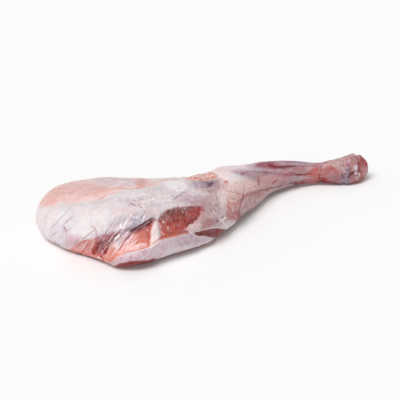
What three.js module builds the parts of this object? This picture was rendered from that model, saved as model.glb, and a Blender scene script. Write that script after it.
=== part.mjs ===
// Raw lamb shoulder on the bone with its shank, lying on its rib side.
// A broad blade end narrows through the elbow into a slim shank that ends in a knuckle.
// One closed solid in millimetres: +X runs from the blade end to the knuckle and +Z is up.
// Along the length, distances are measured from the tip of the blade end; across it, y runs
// from the near side (negative) to the far side (positive), with 0 on the line of the shank.
import * as THREE from "three";

// Driving dimensions.
const LENGTH = 437;
const BLADE_ROUND = 92; // length over which the blade end closes in plan
const BLADE_EDGE = 30; // length over which the blade end closes in height
const KNUCKLE_ROUND = 17; // length over which the knuckle's end closes
const FLAT_SKIM = 0.7; // lowest layer that the table presses flat
const STEP_ALONG = 5.4; // spacing of the cross-sections
const CAP_STEPS = 9; // cross-sections in each rounded end
const POINTS_AROUND = 60; // corners of each cross-section
const CROWDING = 0.4; // how much closer the corners stand on the near side, where most relief is
const CROWDED_TURN = 0.1; // the turn, as a share of the way round, where they stand closest
const QUARTER_POINTS = 60; // fine points of a quarter of an outline before it is spaced
const ROUTE_POINTS = 48; // points along a line of relief
const UNEVENNESS = 0.9; // depth of the slow swells of the whole surface
const SWELL_LENGTH = 46; // length of those swells
const SWELL_ALONG = new THREE.Vector3(1, 0.6, 0); // the three ways in which they run
const SWELL_ACROSS = new THREE.Vector3(0, 0.8, -1.3);
const SWELL_SLANTING = new THREE.Vector3(0.55, -1.1, 0.9);

// A smooth curve along the length through [distance, value] points.
function profile(points) {
  const along = points.map((point) => point[0]);
  const values = points.map((point) => point[1]);
  const spline = new THREE.CubicInterpolant(along, values, 1);
  return (distance) => spline.evaluate(distance)[0];
}

// Plan view: the near edge and the far edge.
const nearEdge = profile([
  [0, -92], [50, -118], [72, -135], [93, -140], [140, -128], [190, -111], [228, -82],
  [262, -52], [297, -22], [344, -6], [375, -8], [402, -17], [LENGTH, -13],
]);
const farEdge = profile([
  [0, 44], [46, 42], [93, 31], [140, 15], [175, 8], [212, 5], [232, 9],
  [262, 12], [300, 23], [344, 20], [380, 10], [410, 12], [LENGTH, 9],
]);
// Side view: the crest of the top and the underside, which clears the table along the shank.
const crestHeight = profile([
  [0, 46], [46, 57], [93, 66], [140, 68], [185, 62], [206, 57], [232, 57],
  [262, 49], [300, 40.5], [344, 34], [375, 31], [405, 36], [LENGTH, 34],
]);
const underside = profile([
  [0, 0], [228, 0], [262, 1], [300, 4], [350, 5], [385, 3], [405, 0], [LENGTH, 1],
]);
// Shape of a cross-section: where its crest stands between the two edges, how high its widest
// points are, as shares of its height, and how square its corners are (2 is an ellipse).
const crestShare = profile([[0, 0.5], [93, 0.45], [200, 0.45], [300, 0.5], [LENGTH, 0.5]]);
const nearBelly = profile([[0, 0.4], [93, 0.3], [200, 0.3], [300, 0.48], [LENGTH, 0.5]]);
const farBelly = profile([[0, 0.42], [93, 0.34], [140, 0.32], [200, 0.36], [300, 0.48], [LENGTH, 0.5]]);
const squareness = profile([[0, 2.2], [93, 2.5], [200, 2.4], [300, 2.1], [LENGTH, 2.2]]);
// The far shoulder of the cross-section, which slopes down to a thinner edge along the blade.
const farSlope = profile([
  [0, 2.1], [46, 2.0], [93, 1.75], [140, 1.4], [175, 1.5], [212, 1.8], [240, 2.2], [300, 2.1],
  [LENGTH, 2.2],
]);
const FOOT_SQUARENESS = 1.3; // the lower corners are squarer than the upper ones by this factor

// Share of the full size left at a distance from a rounded end: a quarter ellipse.
function roundEnd(distance, reach) {
  const gone = Math.max(0, 1 - distance / reach);
  return Math.sqrt(Math.max(0, 1 - gone * gone));
}

// A quarter of an outline, from a point on its widest line to its top or bottom.
function quarter(centre, reach, power) {
  const points = [];
  for (let i = 0; i <= QUARTER_POINTS; i += 1) {
    const turn = (i / QUARTER_POINTS) * (Math.PI / 2);
    points.push(
      new THREE.Vector2(
        centre.x + reach.x * Math.max(0, Math.cos(turn)) ** (2 / power),
        centre.y + reach.y * Math.sin(turn) ** (2 / power),
      ),
    );
  }
  return points;
}

// The outline across the shoulder at a distance from the blade end: four paths of (y, z) points,
// from the near edge over the crest to the far edge and back underneath.
function girth(distance) {
  const plan = roundEnd(distance, BLADE_ROUND) * roundEnd(LENGTH - distance, KNUCKLE_ROUND);
  const depth = roundEnd(distance, BLADE_EDGE) * roundEnd(LENGTH - distance, KNUCKLE_ROUND);
  const middle = (nearEdge(distance) + farEdge(distance)) / 2;
  const half = ((farEdge(distance) - nearEdge(distance)) / 2) * plan;
  const floor = underside(distance);
  const height = crestHeight(distance) - floor;
  const waist = floor + height * nearBelly(distance);
  const top = waist + (crestHeight(distance) - waist) * depth;
  const bottom = waist - (waist - floor) * depth;
  const crest = middle + half * (2 * crestShare(distance) - 1);
  const farWaist = bottom + (top - bottom) * farBelly(distance);
  const power = squareness(distance);
  const foot = power * FOOT_SQUARENESS;
  const toNear = middle - half - crest;
  const toFar = middle + half - crest;
  const nearSide = new THREE.Vector2(crest, waist);
  const farSide = new THREE.Vector2(crest, farWaist);
  return [
    quarter(nearSide, new THREE.Vector2(toNear, top - waist), power),
    quarter(farSide, new THREE.Vector2(toFar, top - farWaist), farSlope(distance)).reverse(),
    quarter(farSide, new THREE.Vector2(toFar, bottom - farWaist), foot),
    quarter(nearSide, new THREE.Vector2(toNear, bottom - waist), foot).reverse(),
  ].map((points) => new THREE.Path(points));
}

// Places on the smooth skin at one distance, each at a turn: 0 is the near edge, 0.25 the crest,
// 0.5 the far edge and 0.75 the middle of the underside.
function onSkin(distance, turns) {
  const paths = girth(distance);
  return turns.map((turn) => {
    const quarters = 4 * (turn - Math.floor(turn));
    const which = Math.floor(quarters);
    const point = paths[which].getPoint(quarters - which);
    return new THREE.Vector3(distance, point.x, point.y);
  });
}

// The turns of a cross-section's corners, which crowd towards the near side.
function cornerTurns() {
  const turns = [];
  for (let i = 0; i < POINTS_AROUND; i += 1) {
    const even = i / POINTS_AROUND;
    const lead = (CROWDING / (2 * Math.PI)) * Math.sin(2 * Math.PI * (even - CROWDED_TURN));
    turns.push(even - lead);
  }
  return turns;
}

// Distances of the cross-sections: close together where an end rounds off.
function stations() {
  const places = [];
  for (let i = 1; i <= CAP_STEPS; i += 1) {
    places.push(BLADE_EDGE * (1 - Math.cos(((i / CAP_STEPS) * Math.PI) / 2)));
  }
  const run = LENGTH - KNUCKLE_ROUND - BLADE_EDGE;
  const steps = Math.round(run / STEP_ALONG);
  for (let i = 1; i < steps; i += 1) {
    places.push(BLADE_EDGE + (run * i) / steps);
  }
  for (let i = CAP_STEPS; i >= 1; i -= 1) {
    places.push(LENGTH - KNUCKLE_ROUND * (1 - Math.cos(((i / CAP_STEPS) * Math.PI) / 2)));
  }
  return places;
}

// A closed skin over the cross-sections, with a point at each end.
function loft() {
  const turns = cornerTurns();
  const rings = stations().map((distance) => onSkin(distance, turns));
  const centreOf = (corners) =>
    corners.reduce((sum, corner) => sum.add(corner), new THREE.Vector3()).divideScalar(corners.length);
  const bladeTip = centreOf(rings[0]).setX(0);
  const knuckleTip = centreOf(rings.at(-1)).setX(LENGTH);
  const points = [bladeTip, ...rings.flat(), knuckleTip];
  const faces = [];
  const at = (row, around) => 1 + row * POINTS_AROUND + (around % POINTS_AROUND);
  const last = rings.length - 1;
  for (let i = 0; i < POINTS_AROUND; i += 1) {
    faces.push(0, at(0, i), at(0, i + 1));
    faces.push(points.length - 1, at(last, i + 1), at(last, i));
    for (let row = 0; row < last; row += 1) {
      faces.push(at(row, i), at(row + 1, i + 1), at(row, i + 1));
      faces.push(at(row, i), at(row + 1, i), at(row + 1, i + 1));
    }
  }
  const skin = new THREE.BufferGeometry().setFromPoints(points);
  skin.setIndex(faces);
  return skin;
}

// Relief: lines and spots on the skin that stand proud of it or sink into it. A route is a list
// of [distance, turn] places, reach is how far to each side the relief runs out, rise is its
// height (negative for a furrow), and core is the share of the reach that has the full height.
const RELIEF = [
  // The fat cap ends in a thick lip over the cut flank, which is undercut below it.
  { route: [[20, 0.0], [41, 0.042], [67, 0.071], [89, 0.093]], reach: 12, rise: 3 },
  {
    route: [[89, 0.093], [107, 0.113], [124, 0.13], [143, 0.14], [163, 0.14], [184, 0.125]],
    reach: 11,
    rise: 2.2,
  },
  { route: [[75, 0.05], [90, 0.072], [114, 0.094], [140, 0.107], [165, 0.102]], reach: 7, rise: -3 },
  // The flank itself is cut back to the lean.
  { route: [[38, 0.985], [53, 0.005], [67, 0.02], [80, 0.04]], reach: 13, rise: -4, core: 0.3 },
  {
    route: [[80, 0.04], [102, 0.06], [122, 0.072], [141, 0.078], [163, 0.078]],
    reach: 16,
    rise: -5,
    core: 0.35,
  },
  // A strip of firm fat runs along its foot, and a flap of skin gapes over it by the elbow.
  {
    route: [[66, 0.965], [84, 0.992], [103, 0.006], [126, 0.011], [158, 0.006]],
    reach: 13,
    rise: 3,
    core: 0.3,
  },
  { route: [[160, 0.02], [178, 0.016], [199, 0.996]], reach: 7, rise: -4 },
  { route: [[157, 0.046], [176, 0.044], [198, 0.026]], reach: 8, rise: 2.2 },
  // The cap folds against the thinner far side of the blade.
  { route: [[8, 0.3], [17, 0.215], [33, 0.213], [52, 0.203], [69, 0.222]], reach: 12, rise: -2.2 },
  { route: [[69, 0.222], [91, 0.25], [128, 0.25], [156, 0.277], [182, 0.3]], reach: 13, rise: -2.6 },
  { route: [[30, 0.36], [70, 0.38], [120, 0.38], [160, 0.4]], reach: 24, rise: 1.5 },
  // The point of the elbow, with a hollow in front of it.
  { route: [[183, 0.225], [198, 0.212], [215, 0.198]], reach: 13, rise: -3.2 },
  { route: [[184, 0.285], [203, 0.312], [214, 0.28]], reach: 9, rise: 1.4 },
  { route: [[225, 0.265], [248, 0.235]], reach: 20, rise: 1.6 },
  // Furrows between the muscles and sinews of the shank.
  { route: [[239, 0.247], [255, 0.187], [283, 0.133], [320, 0.085], [356, 0.047]], reach: 7, rise: -1.7 },
  { route: [[276, 0.275], [306, 0.165], [343, 0.152], [370, 0.152]], reach: 7, rise: -1.4 },
  { route: [[246, 0.077], [278, 0.015], [303, 0.96], [331, 0.927], [367, 0.89]], reach: 8, rise: -1.8 },
  { route: [[262, 0.42], [300, 0.4], [340, 0.38], [378, 0.36]], reach: 9, rise: -1.6 },
  { route: [[290, 0.62], [330, 0.6], [370, 0.6]], reach: 9, rise: -1.4 },
  // The knuckle: a furrow round the joint, then the knobs of the bare joint end.
  {
    route: [[398, 0.5], [396, 0.3], [399, 0.113], [399, 0.017], [396, 0.89], [398, 0.7]],
    reach: 6,
    rise: -1.8,
  },
  { route: [[411, 0.217]], reach: 13, rise: 2.6 },
  { route: [[412, 0.07]], reach: 11, rise: 1.6 },
  { route: [[403, 0.955]], reach: 9, rise: 1 },
  { route: [[409, 0.52]], reach: 13, rise: 2.4 },
  { route: [[427, 0.4], [427, 0.2], [426, 0.0]], reach: 5, rise: -1.3 },
];

// Height of a line of relief at a distance from it.
function swell(gap, { reach, rise, core = 0 }) {
  const run = Math.max(0, gap / reach - core) / (1 - core);
  return run < 1 ? rise * (1 - run * run) ** 2 : 0;
}

// Points along a route, on the smooth skin.
function routePoints(route) {
  const places = route.flatMap(([distance, turn]) => onSkin(distance, [turn]));
  return places.length > 1 ? new THREE.CatmullRomCurve3(places).getSpacedPoints(ROUTE_POINTS) : places;
}

// Slow swells that no two sides of a real joint share.
function unevenness(point) {
  const turn = (2 * Math.PI) / SWELL_LENGTH;
  const wave =
    Math.sin(turn * point.dot(SWELL_ALONG)) * Math.cos(turn * point.dot(SWELL_ACROSS)) +
    Math.sin(turn * point.dot(SWELL_SLANTING));
  return (UNEVENNESS * wave) / 2;
}

// Raises and sinks the skin along its own normals.
function carve(skin) {
  skin.computeVertexNormals();
  const place = skin.getAttribute("position");
  const normal = skin.getAttribute("normal");
  const lines = RELIEF.map((line) => ({ ...line, points: routePoints(line.route) }));
  const point = new THREE.Vector3();
  const out = new THREE.Vector3();
  for (let i = 0; i < place.count; i += 1) {
    point.fromBufferAttribute(place, i);
    out.fromBufferAttribute(normal, i);
    let lift = unevenness(point);
    for (const line of lines) {
      const gap = Math.min(...line.points.map((onLine) => onLine.distanceTo(point)));
      lift += swell(gap, line);
    }
    point.addScaledVector(out, lift);
    place.setXYZ(i, point.x, point.y, point.z);
  }
  skin.deleteAttribute("normal");
  return skin;
}

// The table presses the underside flat, and the part stands on it, centred on its own box.
function setDown(skin) {
  const place = skin.getAttribute("position");
  for (let i = 0; i < place.count; i += 1) {
    place.setZ(i, Math.max(0, place.getZ(i) - FLAT_SKIM));
  }
  skin.computeBoundingBox();
  const centre = skin.boundingBox.getCenter(new THREE.Vector3());
  skin.translate(-centre.x, -centre.y, 0);
  return skin;
}

const rawMeat = new THREE.MeshStandardMaterial({ color: 0xe3cfc9, roughness: 0.45, metalness: 0 });
const shoulder = new THREE.Mesh(setDown(carve(loft())), rawMeat);
shoulder.name = "shoulder";
const part = new THREE.Group();
part.add(shoulder);

export default part;
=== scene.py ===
import math

import bmesh
import bpy
import numpy as np
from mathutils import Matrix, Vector, noise
from mathutils.bvhtree import BVHTree


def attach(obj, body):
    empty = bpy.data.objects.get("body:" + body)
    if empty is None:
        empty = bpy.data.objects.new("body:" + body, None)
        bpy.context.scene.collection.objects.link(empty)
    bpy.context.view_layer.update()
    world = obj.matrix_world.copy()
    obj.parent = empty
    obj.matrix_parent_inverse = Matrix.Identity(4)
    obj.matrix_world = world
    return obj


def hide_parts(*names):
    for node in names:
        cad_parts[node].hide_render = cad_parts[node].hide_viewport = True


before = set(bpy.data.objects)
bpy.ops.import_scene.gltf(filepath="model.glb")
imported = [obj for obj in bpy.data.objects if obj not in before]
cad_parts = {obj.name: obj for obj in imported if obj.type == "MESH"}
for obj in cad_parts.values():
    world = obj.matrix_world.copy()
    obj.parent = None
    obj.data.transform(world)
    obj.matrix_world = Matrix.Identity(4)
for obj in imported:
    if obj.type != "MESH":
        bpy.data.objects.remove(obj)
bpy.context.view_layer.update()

MM = 0.001

# The photograph's view: it looks down on the near side, a little from the blade end.
PHOTO_PIXELS = 400
MIDDLE_PIXEL = PHOTO_PIXELS / 2
FOCAL_PIXELS = 1200
SENSOR_MM = 36
VIEW_AZIMUTH = math.radians(-18)
VIEW_ELEVATION = math.radians(27)
VIEW_DISTANCE = 1.5
AIM = Vector((-6.4 * MM, 60.2 * MM, 0))
# Soft light from above and the blade end, with a white fill all round.
FILL_LIGHT = 0.46
KEY_LIGHT = 2.2
KEY_FROM = Vector((-0.45, -0.3, 0.84))
KEY_SPREAD = math.radians(32)

# How finely the skin is divided: evenly all over, twice as fine off the table, twice as fine again
# where it faces one of the views, and once more on the cut flank and from the elbow to the knuckle.
EVEN_SPACING = 6.2 * MM
UNDERSIDE_SLOPE = -0.6
VIEW_SLOPE = -0.1
FAR_SLOPE = 0.1
FINEST_SLOPE = 0
FLANK_OUTLINE = [(70, 240), (98, 228), (120, 206), (138, 196), (170, 190), (206, 190), (226, 214),
                 (224, 236), (192, 238), (160, 246), (112, 266), (84, 258)]
ELBOW_START = 184
WELD_GAP = 0.01 * MM
ROUNDING_LEVELS = 2
SMOOTHING = 0.5
FIRST_SMOOTHING = 3
LATER_SMOOTHING = 2

# Where the view in use ends on the skin, and how noise is drawn out over it.
FAT_WETNESS = 0.35
RIM_REACH = 0.12
RIM_FADE = 0.2
CLEAR_FADE = 0.15
HIDDEN_PENALTY = 1000
SEED_STEP = np.array((1.7, -2.3, 0.9))
LENGTHWAYS = np.array((1, 0, 0))
# How areas, lines and spots of tissue end: coarse and fine wobble, soft cores, thin ends.
COARSE_WOBBLE = 4 * MM
FINE_WOBBLE = 1.6 * MM
FINE_WOBBLE_SHARE = 0.6
EDGE_MARGIN = 2
SHORTEST_RUN = 1e-18
BLOTCH_SPREAD = 0.35
LINE_CORE = 1.25
LINE_END_WIDTH = 0.35
LINE_END_SHARE = 0.4
SPOT_CORE = 1.2
SPOT_RAGGED = 0.25
GLAZE_SOFT = 1.8
GLAZE_RAGGED = 1.4
# How far strands stray from their places, are cut short and bow, and how thick and plain they are.
STRAND_STEPS = 40
STRAND_PLACES = (0.1, 0.9)
STRAND_STRAY = 1.2
STRAND_CUT = 0.35
STRAND_BOW = 0.6
STRAND_WIDTHS = (0.6, 1.3)
STRAND_SHARES = (0.5, 1)
STRAND_ENDS = 0.3
# Where the underside starts, and the streaks of film on it.
UNDERSIDE_START = 0.55
UNDERSIDE_FADE = 0.3
FILM_STREAK = 9 * MM
FILM_CONTRAST = 1.3
# The unevenness of the skin all over: sizes, and heights in millimetres.
LUMP_SIZE = 7 * MM
LUMP_HEIGHT = 0.18
PIMPLE_SIZE = 3 * MM
PIMPLE_HEIGHT = 0.08
FIBRE_SIZE = 1.8 * MM
FIBRE_HEIGHT = 0.2

# The moist finish: grains per metre, how thin threads are, and how strongly each thing shows.
SPECKLE_GRAIN = 260
SPECKLE_RANGE = (-0.1, 0.09)
FIBRE_GRAIN = 520
FIBRE_STRETCH = (0.28, 1, 0.28)
FIBRE_TURN = (0, math.radians(35), 0)
FIBRE_RANGE = (-0.14, 0.12)
NET_GRAIN = 300
NET_SWIRL = 1.2
NET_THREAD = 0.03
NET_LIGHT = 0.14
NET_GROUND = 0.98
FLUSH_GRAIN = 180
FLUSH_RANGE = (0.88, 1.14)
VESSEL_GRAIN = 110
VESSEL_SWIRL = 2
VESSEL_THREAD = 0.012
VESSEL_SHARE = 0.4
DIMPLE_GRAIN = 700
DIMPLE_SHARE = 0.45
BUMP_STRENGTH = 0.25
BUMP_DEPTH = 0.6 * MM
DRY_ROUGHNESS = 0.62
WET_CHANGE = -0.42
NOISE_MIDDLE = 0.5
NOISE_LOW = 0.3
NOISE_HIGH = 0.7
FLESH_SURFACE = {
    "Subsurface Weight": 0.12,
    "Subsurface Radius": (1.0, 0.4, 0.3),
    "Subsurface Scale": 1.5 * MM,
    "Specular IOR Level": 0.45,
    "Coat Weight": 0.2,
    "Coat Roughness": 0.18,
}
TABLE_SURFACE = {"Base Color": (0.93, 0.93, 0.93, 1), "Roughness": 0.9, "Specular IOR Level": 0.1}
TABLE_REACH = 6
WHITE = (1, 1, 1, 1)

# The curve of a screen, from its 8-bit values to linear light.
SCREEN_TOP = 255
TOE_END = 0.04045
TOE_SLOPE = 12.92
CURVE_LIFT = 0.055
CURVE_POWER = 2.4

# Colours of the tissues, and of painted shade and painted highlights, as 8-bit screen values.
CREAM_FASCIA = (225, 217, 218)
WHITE_FASCIA = (235, 230, 232)
LAVENDER_FASCIA = (208, 198, 209)
TORN_PEACH = (224, 172, 160)
PALE_PEACH_FAT = (236, 208, 204)
PEACH_FAT = (228, 184, 177)
DEEP_PEACH_FAT = (214, 156, 146)
PINK_FILM = (206, 158, 174)
PURPLE_FILM = (160, 106, 126)
GREY_FILM = (180, 150, 153)
BEIGE_FILM = (234, 195, 188)
MAUVE_FILM = (150, 114, 128)
LEAN_RED = (182, 80, 68)
LEAN_BROWN = (134, 56, 50)
LEAN_DARK = (108, 40, 42)
LEAN_ORANGE = (224, 140, 125)
LEAN_PINK = (234, 172, 167)
FAN_ORANGE = (216, 122, 104)
MAROON = (112, 30, 38)
WINE = (136, 8, 28)
# Dark maroon laid as painted shade, in the notch at the elbow's edge and along the shank's lower edge.
DEEP_MAROON = (58, 14, 20)
BLOOD_RED = (174, 78, 76)
RUST = (206, 112, 78)
SINEW = (242, 224, 224)
PALE_SINEW = (232, 196, 198)
VEIN = (136, 62, 72)
TAN_SKIN = (170, 126, 124)
BONE_WHITE = (190, 160, 168)
END_FAT = (226, 212, 211)
BLADE_LEAN = (236, 158, 156)
LIP_SHADE = (158, 72, 88)
CREVICE_DARK = (104, 32, 44)
BRICK_FOLD = (148, 50, 38)
WINDOW_RED = (146, 46, 46)
STRIP_LAVENDER = (200, 174, 185)
# Grey laid as painted shade on the strip at the flank's foot.
STRIP_GREY = (176, 160, 172)
FAN_GREY = (174, 158, 166)
GAPE_LEAN = (142, 60, 64)
WINDOW_LEAN = (166, 58, 48)
HOLLOW_BLUE = (162, 140, 155)
SHANK_FILM = (160, 122, 133)
SHANK_PALE = (190, 168, 178)
SHANK_LEAN = (160, 82, 98)
TAN_FILM = (204, 172, 161)
BLOOD_MAROON = (150, 74, 84)
CLOT_DARK = (92, 44, 50)
HOLLOW_SHADE = (146, 112, 125)
# The darkest painted shade, in the core of the hollow before the elbow's point.
HOLLOW_CORE = (84, 54, 68)
PURPLE_CLOT = (150, 66, 96)
BRIGHT_BLOOD = (192, 84, 74)
DARK_BLOOD = (152, 50, 48)
JOINT_RED = (164, 66, 68)
JOINT_PINK = (192, 142, 142)
JOINT_TAN = (174, 124, 120)
JOINT_PALE = (214, 198, 206)
DARK_PURPLE = (120, 40, 52)
GRISTLE = (116, 101, 121)
GRISTLE_BROWN = (96, 66, 75)
GRISTLE_LIGHT = (182, 170, 188)
# Near-black, laid as painted shade deep in crevices and along the knuckle's lower edge.
CREVICE_BLACK = (64, 18, 28)
DARK_FOOT = (134, 12, 18)
FAN_BLUE = (158, 150, 170)
# Bright white, laid mostly as painted highlights, and also for white beads of fat.
WET_WHITE = (252, 249, 250)
FOLD_WHITE = (255, 231, 237)
FOLD_PINK = (255, 232, 238)
VEIN_BLUE = (118, 74, 92)
SHANK_LIGHT = (206, 190, 202)


def screen_colour(colour):
    """Linear light for an 8-bit screen colour."""
    value = np.array(colour, float) / SCREEN_TOP
    curved = ((value + CURVE_LIFT) / (1 + CURVE_LIFT)) ** CURVE_POWER
    return np.where(value <= TOE_END, value / TOE_SLOPE, curved)


class View:
    """A way of looking at the shoulder, and where its points show from there."""

    def __init__(self, azimuth, elevation):
        level = math.cos(elevation)
        sideways, backward = math.sin(azimuth) * level, -math.cos(azimuth) * level
        self.to_viewer = Vector((sideways, backward, math.sin(elevation)))
        self.right = Vector((math.cos(azimuth), math.sin(azimuth), 0))
        self.up = self.to_viewer.cross(self.right)
        self.eye = AIM + self.to_viewer * VIEW_DISTANCE

    def pixels(self, points):
        """Where points of the object show."""
        offset = points - np.array(AIM)
        depth = VIEW_DISTANCE - offset @ np.array(self.to_viewer)
        across = offset @ np.array(self.right) / depth
        upward = offset @ np.array(self.up) / depth
        u, v = MIDDLE_PIXEL + FOCAL_PIXELS * across, MIDDLE_PIXEL - FOCAL_PIXELS * upward
        return np.stack([u, v], axis=1)

    def sight(self, u, v):
        """The line of sight through a pixel."""
        across, down = u - MIDDLE_PIXEL, v - MIDDLE_PIXEL
        return (self.right * across - self.up * down - self.to_viewer * FOCAL_PIXELS).normalized()


PHOTO_VIEW = View(VIEW_AZIMUTH, VIEW_ELEVATION)
FAR_VIEW = View(VIEW_AZIMUTH + math.pi, VIEW_ELEVATION)


def smooth_route(route, closed=False, steps=6):
    """A rounded route through its points, as many short steps."""
    points = np.array(route, float)
    if len(points) < 3:
        share = np.linspace(0, 1, 2 * steps)[:, None]
        return points[0] + (points[-1] - points[0]) * share
    if closed:
        around = np.concatenate([points[-1:], points, points[:2]])
    else:
        before, after = 2 * points[:1] - points[1:2], 2 * points[-1:] - points[-2:-1]
        around = np.concatenate([before, points, after])
    t = np.linspace(0, 1, steps, endpoint=False)[:, None]
    rounded = []
    for a, b, c, d in zip(around, around[1:], around[2:], around[3:]):
        rounded.append(
            0.5 * (2 * b + (c - a) * t + (2 * a - 5 * b + 4 * c - d) * t**2
                   + (3 * b - a - 3 * c + d) * t**3)
        )
    if not closed:
        rounded.append(points[-1:])
    return np.concatenate(rounded)


def gap_to_route(points, route):
    """Distance from each point to a route, and the share of the route where it is nearest."""
    nearest = np.full(len(points), np.inf)
    place = np.zeros(len(points))
    for i, (start, end) in enumerate(zip(route, route[1:])):
        run = end - start
        share = np.clip((points - start) @ run / max(run @ run, SHORTEST_RUN), 0, 1)
        gap = np.linalg.norm(points - start - share[:, None] * run, axis=1)
        closer = gap < nearest
        nearest[closer] = gap[closer]
        place[closer] = (i + share[closer]) / (len(route) - 1)
    return nearest, place


def inside_outline(points, outline):
    """Which points lie inside a closed outline."""
    inside = np.zeros(len(points), bool)
    for start, end in zip(outline, np.roll(outline, -1, axis=0)):
        crosses = (start[1] > points[:, 1]) != (end[1] > points[:, 1])
        rise = end[1] - start[1]
        if rise:
            crossing = start[0] + (points[:, 1] - start[1]) * (end[0] - start[0]) / rise
            inside ^= crosses & (points[:, 0] < crossing)
    return inside


def ease(value):
    """0 to 1 with soft ends."""
    value = np.clip(value, 0, 1)
    return value * value * (3 - 2 * value)


def divide(flesh, wanted):
    """Divides the faces that are wanted once more."""
    centres = np.array([face.calc_center_median() for face in flesh.faces])
    normals = np.array([face.normal for face in flesh.faces])
    chosen = wanted(centres, normals)
    edges = {edge for face, pick in zip(flesh.faces, chosen) if pick for edge in face.edges}
    bmesh.ops.subdivide_edges(flesh, edges=list(edges), cuts=1, use_grid_fill=True)


def smooth(flesh, rounds):
    """Evens the skin out, all its points together."""
    axes = {"use_axis_x": True, "use_axis_y": True, "use_axis_z": True}
    for _ in range(rounds):
        bmesh.ops.smooth_vert(flesh, verts=flesh.verts, factor=SMOOTHING, **axes)


def off_table(centres, normals):
    """Which faces don't lie on the table."""
    return normals[:, 2] > UNDERSIDE_SLOPE


def faces_view(centres, normals):
    """Which faces show in the photograph's view or in the one from the far side."""
    nearer = normals @ np.array(PHOTO_VIEW.to_viewer) > VIEW_SLOPE
    farther = normals @ np.array(FAR_VIEW.to_viewer) > FAR_SLOPE
    return nearer | (farther & (normals[:, 2] > UNDERSIDE_SLOPE))


def finest(centres, normals):
    """Which faces lie on the cut flank, or between the elbow and the knuckle, in the photograph."""
    pixels = PHOTO_VIEW.pixels(centres)
    flank = inside_outline(pixels, np.array(FLANK_OUTLINE, float))
    shown = normals @ np.array(PHOTO_VIEW.to_viewer) > FINEST_SLOPE
    return shown & (flank | (pixels[:, 0] > ELBOW_START))


def draw_onto(flesh, form):
    """Draws every point onto the nearest place of a form."""
    for vertex in flesh.verts:
        vertex.co = form.find_nearest(vertex.co)[0]


def divided_skin():
    """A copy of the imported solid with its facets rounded, evenly and then finely divided."""
    copy = bmesh.new()
    copy.from_mesh(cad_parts["shoulder"].data)
    bmesh.ops.remove_doubles(copy, verts=copy.verts, dist=WELD_GAP)
    mesh = bpy.data.meshes.new("solid_copy")
    copy.to_mesh(mesh)
    copy.free()
    rounded = bpy.data.objects.new("solid_copy", mesh)
    bpy.context.scene.collection.objects.link(rounded)
    rounding = rounded.modifiers.new("rounding", "SUBSURF")
    rounding.levels = rounding.render_levels = ROUNDING_LEVELS
    form = BVHTree.FromObject(rounded, bpy.context.evaluated_depsgraph_get())
    even = rounded.modifiers.new("even", "REMESH")
    even.mode = "VOXEL"
    even.voxel_size = EVEN_SPACING
    evened = rounded.evaluated_get(bpy.context.evaluated_depsgraph_get())
    flesh = bmesh.new()
    flesh.from_mesh(evened.to_mesh())
    evened.to_mesh_clear()
    bpy.data.objects.remove(rounded)
    bpy.data.meshes.remove(mesh)
    smooth(flesh, FIRST_SMOOTHING)
    for wanted in (off_table, faces_view, finest):
        divide(flesh, wanted)
        smooth(flesh, LATER_SMOOTHING)
        draw_onto(flesh, form)
    smooth(flesh, LATER_SMOOTHING)
    skin = bpy.data.meshes.new("shoulder_flesh")
    flesh.to_mesh(skin)
    flesh.free()
    return skin


def each_shape(named):
    """Every outline or route among named ones, some of which are groups of several."""
    for shape in named.values():
        yield from shape if isinstance(shape, tuple) else [shape]


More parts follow.
